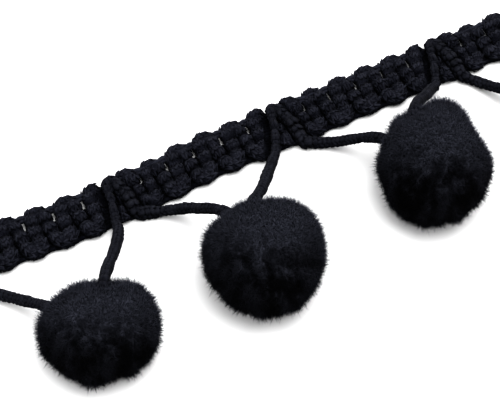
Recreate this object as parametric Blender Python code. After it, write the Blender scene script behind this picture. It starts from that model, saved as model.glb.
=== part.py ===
"""A cut length of pompom fringe trim, lying face up on a level surface.

The heading is a knitted cord laid back and forth and held by four lines of chain stitch. It is
modelled as one ribbed strip with its scalloped edges, pinched rows and the channels that the
festoon cord lies in. The festoon cord crosses the heading in a hairpin once each repeat, and
its two runs end in the pompoms. Each cord piece goes from one pompom over the heading to the next.

+X runs along the heading, +Y across it and away from the pompoms, and +Z is up. The origin is on
the heading's underside, at the middle of the length.
"""

import math

import bmesh
import bpy
import numpy as np
from mathutils import Vector
from mathutils.bvhtree import BVHTree

MM = 0.001  # tables and sizes below are in millimetres, and every mesh is made in metres

# Heading: the ribbed strip
REPEAT = 30.0  # from one hairpin of the festoon cord to the next
HAIRPINS = (-60.0, -30.0, 0.0, 30.0, 60.0)  # where the festoon cord crosses, along X
TOP_TURNS = (2.5, 6.7, 11.8, 16.8, 21.8, 26.7)  # the upper edge's turns, after each hairpin
HEADING_END = 67.5  # the strip is cut this far either side of the origin
EDGE_CREST = 4.5  # half the width at a turn of the laid cord
EDGE_NOTCH = 3.65  # half the width between two turns
TURN_SHARE = 0.88  # the share of the pitch that a turn's round outline takes
LEG_TOP = 2.6  # height of a leg of the laid cord
TURN_TOP = 2.2  # height of the strip at its edges' shoulders
SIDE_HEIGHT = 1.15  # height of the widest point of each edge
SHOULDER_IN = 0.4  # how far in from the edge the shoulder lies
FOOT_IN = 0.75  # how far in from the edge the flat underside starts
FOOT_LIFT = 0.4  # how far the underside rises between two legs
FOOT_SHARE = 0.2  # the share of a leg, from its side, over which it comes down again
FLAT_REACH = 3.4  # the underside stays flat this far either side of a hairpin
CHAIN_LINES = (-2.85, -0.95, 0.95, 2.85)  # the four lines of chain stitch, across the strip
CHAIN_PINCH = 0.42  # how deep a chain line pinches each leg
CHAIN_WIDTH = 0.45  # how wide that pinch is
BEAD_ROWS = (-1.9, 0.0, 1.9)  # the middles of the beads between the chain lines
GROOVE_OPEN = 0.95  # floor of a groove where two turns part
GROOVE_SHUT = 1.95  # floor of a groove where one turn closes it
TOP_TURN_SPAN = (-2.6, 2.4)  # the groove below an upper turn rises over this stretch across
BOTTOM_TURN_SPAN = (0.6, 2.9)  # the groove above a lower turn falls over this one
RIB_POWER = 0.7  # how full a leg's round top is: 1 is a half sine, and less is fuller
FACE_MARGIN = 0.1  # the face's rows stay this far inside the shoulders
LEG_STEPS = (0.22, 0.5, 0.78)  # columns of the mesh across one leg
FINE_STEP = 0.5  # spacing of the mesh's columns beside a hairpin

# The strip wanders a little from a straight line, as it lies.
# Columns: along, sideways
DRIFT = (
    (-70.0, 0.0),
    (-50.0, -0.3),
    (-38.0, -0.9),
    (-26.0, -0.5),
    (-12.0, 0.3),
    (4.0, 0.25),
    (22.0, 0.2),
    (40.0, 0.15),
    (56.0, 0.2),
    (70.0, 0.0),
)

# Festoon cord
CORD = 1.8  # diameter
GAP = 0.3  # between touching pieces
CROSSING_HEIGHT = 2.35  # height of the cord's middle where it lies in the heading
HAIRPIN_RADIUS = 1.15  # radius of its turn at the upper edge
HAIRPIN_TURN = 2.2  # where that turn starts, across the strip
CHANNEL_FLOOR = 1.12  # half the width of the channel's floor
CHANNEL_WALL = 0.5  # how far out the channel's wall reaches its full rise
CHANNEL_RISE = 1.8  # height of that wall above the floor
RECESS = (-1.0, 6.2)  # the stretch after a hairpin where the lower edge gives way to the cord
RECESS_EDGE = 3.2  # half the width there
RECESS_EASE = (0.5, 1.6)  # how gently the edge gives way and comes back
CORD_SAMPLE = 0.15  # spacing at which the smooth route is read
CORD_STEP = 3.9  # longest piece of the tube, a little over two diameters
CORD_TURN = math.radians(24)  # most that the tube turns at one of its points
TUBE_SIDES = 8  # of the tube's section

# The left leg of each hairpin leans: how far it has moved along the strip by the lower edge.
# Columns: hairpin, lean
LEANS = ((-60.0, -2.9), (-30.0, -2.5), (0.0, -3.8), (30.0, -4.0), (60.0, -3.1))
LEG_LEFT = -1.1  # the left leg at the upper turn, from the hairpin
LEFT_ROWS = (-EDGE_CREST, -2.2, 0.2)  # where across the strip the left leg's route is set
LEAN_POWER = 1.4  # how late the lean comes: 1 is a straight leg
TURN_STEPS = (180.0, 135.0, 90.0, 45.0, 0.0)  # the hairpin's turn, in degrees
RIGHT_LEG = ((1.2, HAIRPIN_TURN), (0.8, 0.0), (0.3, -2.9))  # from the hairpin: along, across

# Pompoms, flattened a little where they rest.
# Columns: name, along, across, half length, half width, half height, turn in degrees
POMPOMS = (
    ("pompom_1", -43.7, -23.9, 9.4, 8.1, 7.9, -27.0),
    ("pompom_2", -16.1, -24.4, 9.4, 9.6, 9.2, -27.0),
    ("pompom_3", 15.5, -21.3, 9.4, 10.1, 9.3, -27.0),
    ("pompom_4", 45.2, -23.8, 9.5, 9.1, 8.9, 20.0),
)

# None of them is quite an ellipsoid: each has its own broad swells and flatter sides.
# Columns: name, azimuth and elevation in degrees, height
SWELLS = (
    ("pompom_1", 9.0, 24.0, 0.6),
    ("pompom_1", -62.0, -20.0, -0.3),
    ("pompom_1", -134.0, -31.0, 0.5),
    ("pompom_1", 106.0, 25.0, -0.4),
    ("pompom_2", 14.0, 22.0, 0.5),
    ("pompom_2", 98.0, 27.0, -0.5),
    ("pompom_2", 166.0, -8.0, 0.4),
    ("pompom_3", 3.0, 18.0, -2.2),
    ("pompom_3", 54.0, 32.0, 0.7),
    ("pompom_3", -134.0, -31.0, 0.5),
    ("pompom_4", 150.0, 10.0, -0.7),
    ("pompom_4", -40.0, 20.0, 0.5),
)
SWELL_SPREAD = 0.1  # how wide a swell is, as a share of a half turn

REST_DEPTH = 0.35  # how much of the ball's height its flat spot takes
PILE = 0.5  # the solid ball lies this far inside the pile's outline
LOCK_REACH = (-0.1, 0.35)  # the locks end this far outside the outline, the shortest and longest
LOCK_SHIFT = 0.075  # how far the roots' corners are moved about, as a share of the radius
LOCK_MIDDLE = 0.8  # size of a lock's section halfway, as a share of its root
LOCK_TIP = 0.34  # the same at its tip
LOCK_BEND = 0.08  # how far that middle section is drawn towards the tip, as a share of the lock
LOCK_LEAN = 0.06  # how far a lock's tip may lean sideways, as a share of the radius
LOCK_CLEAR = 2.3  # a lock's root stays this far from the cord's middle
LOCK_FLOOR = 2.2  # no lock grows lower on the ball than this
LOCK_SEED = 100
SHARP = math.radians(50)  # edges sharper than this stay sharp in the pompoms' shading
LUMPS = 22  # soft rises and hollows in each ball
LUMP_SIZE = 0.25  # the most that one of them moves the surface
LUMP_SPREAD = 0.16  # how wide one is, as a share of a half turn
DIMPLE_DEPTH = 1.5  # how far the cord draws the pile in
DIMPLE_SPREAD = 2.6  # how wide that hollow is

# Runs of the festoon cord from the heading's lower edge to a pompom, as they lie or stand.
# Columns: along, across, height
LEFT_RUNS = {
    -60.0: ((-63.6, -5.6, 1.6), (-65.2, -8.2, 0.95), (-67.0, -10.6, 0.95), (-69.4, -12.4, 0.95)),
    -30.0: ((-32.8, -6.6, 2.7), (-34.2, -9.4, 4.4), (-36.3, -12.8, 7.2), (-38.8, -16.0, 10.4),
            (-40.9, -18.9, 12.6), (-42.6, -21.5, 12.2)),
    0.0: ((-4.7, -6.3, 2.9), (-6.9, -8.8, 5.0), (-9.3, -11.6, 7.6), (-11.7, -14.3, 10.0),
          (-13.7, -16.4, 12.2), (-15.2, -18.9, 14.0), (-16.0, -21.8, 13.8)),
    30.0: ((24.9, -5.6, 3.2), (22.6, -7.3, 5.6), (20.3, -9.2, 8.2), (18.0, -11.0, 10.6),
           (16.2, -13.1, 12.9), (15.4, -15.8, 13.6), (15.3, -18.4, 12.6)),
    60.0: ((56.1, -6.4, 2.9), (54.0, -9.4, 4.6), (51.4, -12.6, 7.4), (49.3, -15.6, 10.6),
           (47.6, -18.2, 12.8), (46.6, -20.6, 12.6)),
}
RIGHT_RUNS = {
    -60.0: ((-58.6, -4.6, 1.3), (-57.0, -5.3, 0.95), (-54.6, -7.6, 1.3), (-52.4, -10.2, 2.2),
            (-50.6, -13.0, 4.0), (-49.2, -15.8, 6.2), (-47.8, -18.6, 8.0), (-46.2, -21.0, 8.6)),
    -30.0: ((-28.6, -4.6, 1.3), (-26.4, -5.1, 0.95), (-24.1, -6.4, 1.7), (-22.3, -8.2, 3.6),
            (-20.8, -10.6, 6.0), (-19.4, -13.4, 8.8), (-18.5, -16.4, 11.4), (-18.0, -19.4, 12.9),
            (-17.4, -22.0, 12.2)),
    0.0: ((1.4, -4.6, 1.3), (3.2, -5.0, 0.95), (4.9, -6.0, 1.2), (6.6, -7.6, 2.6),
          (8.2, -9.4, 4.6), (9.3, -11.2, 6.6), (10.2, -13.4, 8.6), (11.3, -15.8, 9.9),
          (12.6, -18.2, 10.2)),
    30.0: ((31.2, -4.7, 1.3), (32.9, -6.2, 1.1), (34.0, -8.6, 2.0), (35.0, -11.2, 3.8),
           (36.6, -14.0, 5.9), (38.8, -16.6, 7.8), (41.2, -19.2, 8.9), (43.2, -21.4, 9.0)),
    60.0: ((61.4, -4.6, 1.3), (63.4, -5.4, 0.95), (65.4, -7.0, 0.95), (67.0, -9.4, 0.95)),
}
PILE_ENDS = {  # the pompom that each run goes into, where it isn't cut
    ("left", -30.0): "pompom_1",
    ("left", 0.0): "pompom_2",
    ("left", 30.0): "pompom_3",
    ("left", 60.0): "pompom_4",
    ("right", -60.0): "pompom_1",
    ("right", -30.0): "pompom_2",
    ("right", 0.0): "pompom_3",
    ("right", 30.0): "pompom_4",
}

# Finishes, as linear colours
NAVY_CORD = (0.0105, 0.0115, 0.0175)
NAVY_FESTOON = (0.0085, 0.0090, 0.0140)
NAVY_PILE = (0.0070, 0.0075, 0.0125)
CORD_ROUGHNESS = 0.85
PILE_ROUGHNESS = 0.95


def clear_scene():
    for item in list(bpy.data.objects):
        bpy.data.objects.remove(item, do_unlink=True)


def finish(name, colour, roughness):
    """A plain fibre finish."""
    material = bpy.data.materials.new(name)
    material.use_nodes = True
    shader = material.node_tree.nodes["Principled BSDF"]
    shader.inputs["Base Color"].default_value = (*colour, 1.0)
    shader.inputs["Roughness"].default_value = roughness
    shader.inputs["Metallic"].default_value = 0.0
    return material


def add_object(name, data, material):
    piece = bpy.data.objects.new(name, data)
    bpy.context.scene.collection.objects.link(piece)
    data.materials.append(material)
    return piece


def smoothstep(low, high, value):
    share = np.clip((value - low) / (high - low), 0.0, 1.0)
    return share * share * (3.0 - 2.0 * share)


def drift(along):
    """How far the strip's middle lies from a straight line."""
    xs = [row[0] for row in DRIFT]
    ys = [row[1] for row in DRIFT]
    index = int(np.clip(np.searchsorted(xs, along) - 1, 0, len(xs) - 2))
    share = smoothstep(xs[index], xs[index + 1], along)
    return ys[index] + (ys[index + 1] - ys[index]) * float(share)


def smooth_route(points):
    """A smooth curve through the points, read at short, even steps."""
    points = np.array(points, float)
    ends = np.vstack([2 * points[0] - points[1], points, 2 * points[-1] - points[-2]])
    steps = np.linalg.norm(np.diff(ends, axis=0), axis=1) ** 0.5
    knots = np.concatenate([[0.0], np.cumsum(steps)])
    curve = []
    for i in range(1, len(ends) - 2):
        p0, p1, p2, p3 = ends[i - 1:i + 3]
        t0, t1, t2, t3 = knots[i - 1:i + 3]
        count = max(2, math.ceil(np.linalg.norm(p2 - p1) / CORD_SAMPLE))
        for t in np.linspace(t1, t2, count, endpoint=False):
            a1 = p0 + (p1 - p0) * (t - t0) / (t1 - t0)
            a2 = p1 + (p2 - p1) * (t - t1) / (t2 - t1)
            a3 = p2 + (p3 - p2) * (t - t2) / (t3 - t2)
            b1 = a1 + (a2 - a1) * (t - t0) / (t2 - t0)
            b2 = a2 + (a3 - a2) * (t - t1) / (t3 - t1)
            curve.append(b1 + (b2 - b1) * (t - t1) / (t2 - t1))
    return np.array([*curve, points[-1]])


def left_leg(hairpin):
    """The hairpin's left leg, from the heading's lower edge up to the turn."""
    lean = dict(LEANS)[hairpin]
    rows = []
    for across in LEFT_ROWS:
        share = (HAIRPIN_TURN - across) / (HAIRPIN_TURN - LEFT_ROWS[0])
        along = LEG_LEFT + (lean - LEG_LEFT) * share ** LEAN_POWER
        rows.append((hairpin + along, across, CROSSING_HEIGHT))
    return rows


def hairpin_turn(hairpin):
    """The turn at the upper edge, as points on a half circle."""
    middle = hairpin + LEG_LEFT + HAIRPIN_RADIUS
    rows = []
    for angle in np.radians(TURN_STEPS):
        along = middle + HAIRPIN_RADIUS * math.cos(angle)
        across = HAIRPIN_TURN + HAIRPIN_RADIUS * math.sin(angle)
        rows.append((along, across, CROSSING_HEIGHT))
    return rows


def right_leg(hairpin):
    """The hairpin's right leg, from the turn down to the lower edge."""
    return [(hairpin + along, across, CROSSING_HEIGHT) for along, across in RIGHT_LEG[1:]]


def cord_route(hairpin):
    """The whole route of one piece of festoon cord, from its left end to its right one."""
    crossing = left_leg(hairpin) + hairpin_turn(hairpin) + right_leg(hairpin)
    sideways = drift(hairpin)
    crossing = [(along, across + sideways, height) for along, across, height in crossing]
    route = list(reversed(LEFT_RUNS[hairpin])) + crossing + list(RIGHT_RUNS[hairpin])
    return smooth_route(route)


def top_turns():
    """Where the laid cord turns at the heading's upper edge, along X."""
    found = []
    for hairpin in (HAIRPINS[0] - REPEAT, *HAIRPINS):
        found += [hairpin + offset for offset in TOP_TURNS]
    return [along for along in found if abs(along) < HEADING_END + TOP_TURNS[0]]


def legs_of(turns):
    """Every leg of the laid cord: its left side, its right side, and which side is a top turn's."""
    rows = []
    for left, right in zip(turns, turns[1:]):
        middle = (left + right) / 2
        rows.append((left, middle, "left"))
        rows.append((middle, right, "right"))
    return [row for row in rows if row[0] > -HEADING_END and row[1] < HEADING_END]


def groove_floor(kind, across):
    """Height of the groove inside a top turn, or inside a bottom turn, at a place across."""
    if kind == "top":
        share = smoothstep(*TOP_TURN_SPAN, across)
    else:
        share = 1.0 - smoothstep(*BOTTOM_TURN_SPAN, across)
    return GROOVE_OPEN + (GROOVE_SHUT - GROOVE_OPEN) * share


def leg_height(leg, along, across):
    """Height of the strip's face on a leg, without the festoon cord's channel."""
    left, right, side = leg
    share = (along - left) / (right - left)
    rib = math.sin(math.pi * min(max(share, 0.0), 1.0)) ** RIB_POWER
    to_top = share if side == "right" else 1.0 - share
    floor = groove_floor("bottom", across) * (1.0 - to_top) + groove_floor("top", across) * to_top
    top = LEG_TOP
    for line in CHAIN_LINES:
        top -= CHAIN_PINCH * math.exp(-(((across - line) / CHAIN_WIDTH) ** 2))
    return floor + (top - floor) * rib


def foot_height(along, leg):
    """Height of the underside: level under a leg and a hairpin, and raised between two legs."""
    left, right, _ = leg
    to_side = min(along - left, right - along) / (right - left)
    near = min(abs(along - hairpin) for hairpin in HAIRPINS)
    if near < FLAT_REACH or to_side >= FOOT_SHARE:
        return 0.0
    return FOOT_LIFT * (1.0 - max(to_side, 0.0) / FOOT_SHARE)


def edge_half_width(turns, along, upper):
    """Half the strip's width at a place along, on its upper or its lower edge."""
    centres = turns if upper else [(a + b) / 2 for a, b in zip(turns, turns[1:])]
    nearest = min(centres, key=lambda centre: abs(centre - along))
    others = sorted(abs(nearest - centre) for centre in centres if centre != nearest)
    reach = TURN_SHARE * others[0] / 2
    rise = max(0.0, 1.0 - ((along - nearest) / reach) ** 2) ** 0.5
    return EDGE_NOTCH + (EDGE_CREST - EDGE_NOTCH) * rise


def recess(along, half_width):
    """The lower edge's half width, given way where the festoon cord turns along it."""
    for hairpin in HAIRPINS:
        start, end = hairpin + RECESS[0], hairpin + RECESS[1]
        begun = smoothstep(start - RECESS_EASE[0], start, along)
        ended = smoothstep(end - RECESS_EASE[1], end, along)
        share = float(begun * (1.0 - ended))
        half_width += (min(half_width, RECESS_EDGE) - half_width) * share
    return half_width


def channel_height(cords, along, across):
    """The most that the strip's face may rise under and beside the festoon cord."""
    highest = math.inf
    for line in cords:
        away = np.hypot(line[:, 0] - along, line[:, 1] - across)
        index = int(away.argmin())
        floor = line[index, 2] - CORD / 2 - GAP
        wall = max(0.0, away[index] - CHANNEL_FLOOR) / CHANNEL_WALL
        highest = min(highest, floor + wall * CHANNEL_RISE)
    return highest


def strip_columns(legs):
    """Places of the mesh's columns along X, each with the leg it lies on and its side there."""
    rows = []
    for leg in legs:
        left, right, _ = leg
        steps = [0.0, *LEG_STEPS]
        near = min(abs((left + right) / 2 - hairpin) for hairpin in HAIRPINS)
        if near < REPEAT / 5:
            count = math.ceil((right - left) / FINE_STEP)
            steps = [index / count for index in range(count)]
        rows += [(left + (right - left) * share, leg) for share in steps]
    return [*rows, (legs[-1][1], legs[-1])]


def strip_section(turns, cords, along, leg):
    """One closed section of the heading, as points across and up, in order round it."""
    middle = drift(along)
    upper = edge_half_width(turns, along, upper=True)
    lower = recess(along, edge_half_width(turns, along, upper=False))
    rows = sorted((*CHAIN_LINES, *BEAD_ROWS))
    limit = lower - SHOULDER_IN - FACE_MARGIN
    face = [-lower + SHOULDER_IN] + [max(row, -limit) for row in rows] + [upper - SHOULDER_IN]
    points = [(-lower, SIDE_HEIGHT)]
    for index, across in enumerate(face):
        height = leg_height(leg, along, across)
        if index in (0, len(face) - 1):
            height = min(height, TURN_TOP)
        height = min(height, channel_height(cords, along, across + middle))
        points.append((across, height))
    points.append((upper, SIDE_HEIGHT))
    foot = foot_height(along, leg)
    points.append((upper - FOOT_IN, foot))
    points.append((-lower + FOOT_IN, foot))
    return [(across + middle, height) for across, height in points]


def build_heading(routes, material):
    """The ribbed strip: a section at each column, joined to the next one."""
    turns = top_turns()
    legs = legs_of(turns)
    mesh = bmesh.new()
    rings = []
    for along, leg in strip_columns(legs):
        near = [line for line in routes if np.abs(line[:, 0] - along).min() < CORD * 2]
        ring = []
        for across, height in strip_section(turns, near, along, leg):
            ring.append(mesh.verts.new((along * MM, across * MM, height * MM)))
        rings.append(ring)
    for ring, following in zip(rings, rings[1:]):
        for index, corner in enumerate(ring):
            after = (index + 1) % len(ring)
            mesh.faces.new((corner, ring[after], following[after], following[index]))
    mesh.faces.new(rings[0])
    mesh.faces.new(list(reversed(rings[-1])))
    bmesh.ops.recalc_face_normals(mesh, faces=mesh.faces)
    data = bpy.data.meshes.new("heading")
    mesh.to_mesh(data)
    mesh.free()
    return add_object("heading", data, material)


def ball_faces():
    """A sphere of 320 triangles, and its 80 middle ones, where the locks grow."""
    mesh = bmesh.new()
    bmesh.ops.create_icosphere(mesh, subdivisions=2, radius=1.0)
    corners = [vert.co.copy() for vert in mesh.verts]
    triangles = [[vert.index for vert in face.verts] for face in mesh.faces]
    mesh.free()
    halfway = {}

    def between(a, b):
        key = (min(a, b), max(a, b))
        if key not in halfway:
            halfway[key] = len(corners)
            corners.append(((corners[a] + corners[b]) / 2).normalized())
        return halfway[key]

    faces, middles = [], []
    for a, b, c in triangles:
        ab, bc, ca = between(a, b), between(b, c), between(c, a)
        faces += [(a, ab, ca), (b, bc, ab), (c, ca, bc)]
        middles.append((ab, bc, ca))
    return corners, faces, middles


def lump_field(name, seed):
    """Directions, heights and spreads of a ball's rises and hollows, the small and the broad."""
    random = np.random.default_rng(seed)
    aims = random.normal(size=(LUMPS, 3))
    aims /= np.linalg.norm(aims, axis=1)[:, None]
    rises = random.uniform(-LUMP_SIZE, LUMP_SIZE, LUMPS)
    broad = [row[1:] for row in SWELLS if row[0] == name]
    for azimuth, elevation, rise in broad:
        turn, lift = math.radians(azimuth), math.radians(elevation)
        level = math.cos(lift)
        aims = np.vstack([aims, (math.cos(turn) * level, math.sin(turn) * level, math.sin(lift))])
        rises = np.append(rises, rise)
    spreads = np.array([LUMP_SPREAD] * LUMPS + [SWELL_SPREAD] * len(broad))
    return aims, rises, spreads


def middle_height(half_height):
    """Height of a ball's middle, with its flat spot on the surface."""
    return half_height - PILE - REST_DEPTH


class Ball:
    """The outline of one pompom, with its flat spot and the hollows that its cord draws in."""

    def __init__(self, row, seed, ends):
        name, along, across, self.long, self.wide, self.high, turn = row
        self.middle = np.array((along, across, middle_height(self.high)))
        angle = math.radians(turn)
        self.aside = np.array((math.cos(angle), math.sin(angle), 0.0))
        self.ahead = np.array((-math.sin(angle), math.cos(angle), 0.0))
        self.aims, self.rises, self.spreads = lump_field(name, seed)
        self.ends = ends

    def surface(self, aim, proud):
        """The point of the outline in a direction, moved out or in by proud."""
        stretch = aim[0] * self.long * self.aside + aim[1] * self.wide * self.ahead
        stretch[2] = aim[2] * self.high
        outward = stretch / np.linalg.norm(stretch)
        bumps = np.exp((self.aims @ outward - 1.0) / self.spreads) @ self.rises
        point = self.middle + stretch + outward * (proud + bumps)
        for end in self.ends:
            away = np.linalg.norm(point - end)
            point = point - outward * DIMPLE_DEPTH * math.exp(-((away / DIMPLE_SPREAD) ** 2))
        point[2] = max(point[2], 0.0)
        return point


def surface_end(ball_row, line):
    """Where a run of cord first meets the pompom's outline."""
    _, along, across, long, wide, high, turn = ball_row
    angle = math.radians(turn)
    middle = np.array((along, across, middle_height(high)))
    offset = line - middle
    aside = offset[:, 0] * math.cos(angle) + offset[:, 1] * math.sin(angle)
    ahead = -offset[:, 0] * math.sin(angle) + offset[:, 1] * math.cos(angle)
    depth = (aside / long) ** 2 + (ahead / wide) ** 2 + (offset[:, 2] / high) ** 2
    inside = np.flatnonzero(depth < 1.0)
    return line[inside[0]]


def add_lock(mesh, ball, root, aim, reach):
    """One lock of pile: the root triangle drawn out through a middle section to a small tip."""
    base = [np.array(vert.co) / MM for vert in root]
    centre = sum(base) / 3
    tip = ball.surface(aim, reach)
    tip[2] = max(tip[2], 0.0)
    halfway = (centre + tip) / 2 + (tip - centre) * LOCK_BEND
    rings = [list(root)]
    for middle, size in ((halfway, LOCK_MIDDLE), (tip, LOCK_TIP)):
        ring = []
        for corner in base:
            point = middle + (corner - centre) * size
            point[2] = max(point[2], 0.0)
            ring.append(mesh.verts.new(point * MM))
        rings.append(ring)
    for ring, following in zip(rings, rings[1:]):
        for index in range(3):
            after = (index + 1) % 3
            mesh.faces.new((ring[index], ring[after], following[after], following[index]))
    mesh.faces.new(rings[-1])


def build_pompom(row, seed, routes, material):
    """One pompom: a lumpy ball whose locks stand out of it, clear of the cord and the floor."""
    name = row[0]
    ends = []
    for (side, hairpin), pompom in PILE_ENDS.items():
        if pompom == name:
            line = routes[hairpin]
            ends.append(surface_end(row, line if side == "right" else line[::-1]))
    ball = Ball(row, seed, ends)
    corners, faces, middles = ball_faces()
    random = np.random.default_rng(seed + LOCK_SEED)
    shifts = random.uniform(-LOCK_SHIFT, LOCK_SHIFT, (len(corners), 3))
    corners = [(corner + Vector(shift)).normalized() for corner, shift in zip(corners, shifts)]
    near = np.vstack([line for line in routes.values()])
    mesh = bmesh.new()
    verts = [mesh.verts.new(ball.surface(aim, -PILE) * MM) for aim in corners]
    for face in faces:
        mesh.faces.new([verts[index] for index in face])
    locks = 0
    for face in middles:
        root = [verts[index] for index in face]
        aim = sum((corners[index] for index in face), Vector()).normalized()
        centre = ball.surface(aim, -PILE)
        leaning = (aim + Vector(random.uniform(-LOCK_LEAN, LOCK_LEAN, 3))).normalized()
        reach = random.uniform(*LOCK_REACH)
        clear = np.linalg.norm(near - centre, axis=1).min() > LOCK_CLEAR
        if clear and centre[2] > LOCK_FLOOR:
            add_lock(mesh, ball, root, leaning, reach)
            locks += 1
        else:
            mesh.faces.new(root)
    bmesh.ops.recalc_face_normals(mesh, faces=mesh.faces)
    data = bpy.data.meshes.new(name)
    mesh.to_mesh(data)
    mesh.free()
    data.shade_smooth()
    data.set_sharp_from_angle(angle=SHARP)
    print(name, "has", locks, "locks")
    return add_object(name, data, material)


def seat(line, pompom):
    """The route cut back to where the cord's end lies a gap off the pompom."""
    tree = BVHTree.FromPolygons(
        [vert.co.copy() for vert in pompom.data.vertices],
        [tuple(face.vertices) for face in pompom.data.polygons],
    )
    for index in range(len(line) // 2, len(line)):
        point = Vector(line[index] * MM)
        ahead = Vector(line[min(index + 1, len(line) - 1)] - line[index - 1]).normalized()
        side = ahead.orthogonal().normalized()
        other = ahead.cross(side)
        for angle in np.arange(TUBE_SIDES) * math.tau / TUBE_SIDES:
            rim = point + (side * math.cos(angle) + other * math.sin(angle)) * CORD / 2 * MM
            if tree.find_nearest(rim)[3] < GAP * MM:
                return line[:index]
    return line


def tube_points(line):
    """Points for the tube: close together in a bend, and far apart on a straight stretch."""
    kept = [0]
    headings = np.diff(line, axis=0)
    headings /= np.linalg.norm(headings, axis=1)[:, None]
    travelled = 0.0
    for index in range(1, len(line) - 1):
        travelled += np.linalg.norm(line[index] - line[index - 1])
        turned = math.acos(min(1.0, float(headings[kept[-1]] @ headings[index])))
        if travelled > CORD_STEP or turned > CORD_TURN:
            kept.append(index)
            travelled = 0.0
    if np.linalg.norm(line[kept[-1]] - line[-1]) < CORD / 4:
        kept.pop()
    return line[[*kept, len(line) - 1]]


def build_cord(name, line, material):
    """One piece of festoon cord as a tube along its route."""
    points = tube_points(line)
    curve = bpy.data.curves.new(name, "CURVE")
    curve.dimensions = "3D"
    curve.bevel_depth = CORD / 2 * MM
    curve.bevel_resolution = 2
    curve.use_fill_caps = True
    spline = curve.splines.new("POLY")
    spline.points.add(len(points) - 1)
    for target, point in zip(spline.points, points):
        target.co = (*(point * MM), 1.0)
        target.radius = 1.0
    spline.use_smooth = True
    return add_object(name, curve, material)


def main():
    clear_scene()
    laid = finish("laid_cord", NAVY_CORD, CORD_ROUGHNESS)
    festoon = finish("festoon_cord", NAVY_FESTOON, CORD_ROUGHNESS)
    pile = finish("pile", NAVY_PILE, PILE_ROUGHNESS)
    routes = {hairpin: cord_route(hairpin) for hairpin in HAIRPINS}
    build_heading(list(routes.values()), laid)
    balls = {}
    for seed, row in enumerate(POMPOMS):
        balls[row[0]] = build_pompom(row, seed, routes, pile)
    for number, hairpin in enumerate(HAIRPINS, 1):
        line = routes[hairpin]
        if ("right", hairpin) in PILE_ENDS:
            line = seat(line, balls[PILE_ENDS["right", hairpin]])
        if ("left", hairpin) in PILE_ENDS:
            line = seat(line[::-1], balls[PILE_ENDS["left", hairpin]])[::-1]
        build_cord(f"festoon_{number}", line, festoon)


main()
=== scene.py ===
# %% [markdown]
# # A pompom fringe trim
# A cut length of trim lies face up on a table. Its heading is a braid: one thick knitted cord is
# laid back and forth, and four lines of chain stitch hold the turns side by side. A thinner knitted
# cord, the festoon, crosses the braid in a hairpin once each repeat, and its two runs go down into
# round pompoms of dense cut pile.
#
# The frame is the plain solid model of the trim at its real size, in metres. Every piece below is
# made over one of its solids, in the same place, so nothing has to be fitted afterwards.

# %% Load the frame
import math
import time

import bmesh
import bpy
import numpy as np
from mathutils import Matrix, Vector


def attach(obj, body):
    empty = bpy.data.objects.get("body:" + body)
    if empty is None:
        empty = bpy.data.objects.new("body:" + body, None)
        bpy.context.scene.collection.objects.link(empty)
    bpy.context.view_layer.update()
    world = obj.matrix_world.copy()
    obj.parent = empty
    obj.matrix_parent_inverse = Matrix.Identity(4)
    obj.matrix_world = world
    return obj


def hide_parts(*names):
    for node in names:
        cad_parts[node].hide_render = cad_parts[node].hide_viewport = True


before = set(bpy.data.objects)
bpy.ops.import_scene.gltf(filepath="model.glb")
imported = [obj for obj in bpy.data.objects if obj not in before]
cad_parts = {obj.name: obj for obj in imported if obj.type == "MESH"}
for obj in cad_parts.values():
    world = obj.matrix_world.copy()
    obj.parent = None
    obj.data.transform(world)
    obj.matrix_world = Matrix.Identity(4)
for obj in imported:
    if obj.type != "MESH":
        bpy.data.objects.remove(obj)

STARTED = time.time()
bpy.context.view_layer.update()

# %% [markdown]
# ## Sizes
# The trim is measured in millimetres, because its parts are that small. A mesh is made in metres,
# so every table and size below is multiplied by MM on its way into a mesh. The braid repeats every
# 30 mm, and its edge turns are counted from each hairpin of the festoon cord.

# %% Sizes of the braid and the festoon cord
MM = 0.001

REPEAT = 30.0  # from one hairpin to the next
HAIRPINS = (-60.0, -30.0, 0.0, 30.0, 60.0)  # where the festoon cord crosses, along the trim
TOP_TURNS = (2.5, 6.7, 11.8, 16.8, 21.8, 26.7)  # the upper edge's turns, after each hairpin
HEADING_END = 67.5  # the braid is cut this far either side of the middle
EDGE_CREST = 4.5  # half the braid's width at a turn
RECESS = (-1.0, 6.2)  # from here to there after a hairpin, the lower edge lies farther in
RECESS_EDGE = 4.3  # half the width there
CORD = 1.8  # diameter of the festoon cord

# The braid wanders a little from a straight line, as it lies.
# Columns: along, sideways
DRIFT = (
    (-70.0, 0.0), (-50.0, -0.3), (-38.0, -0.9), (-26.0, -0.5), (-12.0, 0.3),
    (4.0, 0.25), (22.0, 0.2), (40.0, 0.15), (56.0, 0.2), (70.0, 0.0),
)


def smoothstep(low, high, value):
    """A smooth rise from 0 at low to 1 at high."""
    share = np.clip((value - low) / (high - low), 0.0, 1.0)
    return share * share * (3.0 - 2.0 * share)


def drift(along):
    """How far the braid's middle lies from a straight line, at one place or at many."""
    along = np.asarray(along, float)
    xs, ys = np.array(DRIFT).T
    index = np.clip(np.searchsorted(xs, along) - 1, 0, len(xs) - 2)
    share = smoothstep(xs[index], xs[index + 1], along)
    return ys[index] + (ys[index + 1] - ys[index]) * share


print("the braid drifts between", round(float(drift(-38)), 2), "and", round(float(drift(-12)), 2))

# %% [markdown]
# ## Helpers that put things in the scene
# What Blender shows is an object: it carries data, such as a mesh, a camera or a lamp, and is linked
# to a collection. A mesh is made here from its points, edges and faces, and can keep numbers at its
# points under a name. Such a row of numbers is called an attribute.

# %% New objects
def add_object(name, data):
    """An object in the scene, at the origin."""
    made = bpy.data.objects.new(name, data)
    bpy.context.scene.collection.objects.link(made)
    return made


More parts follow.
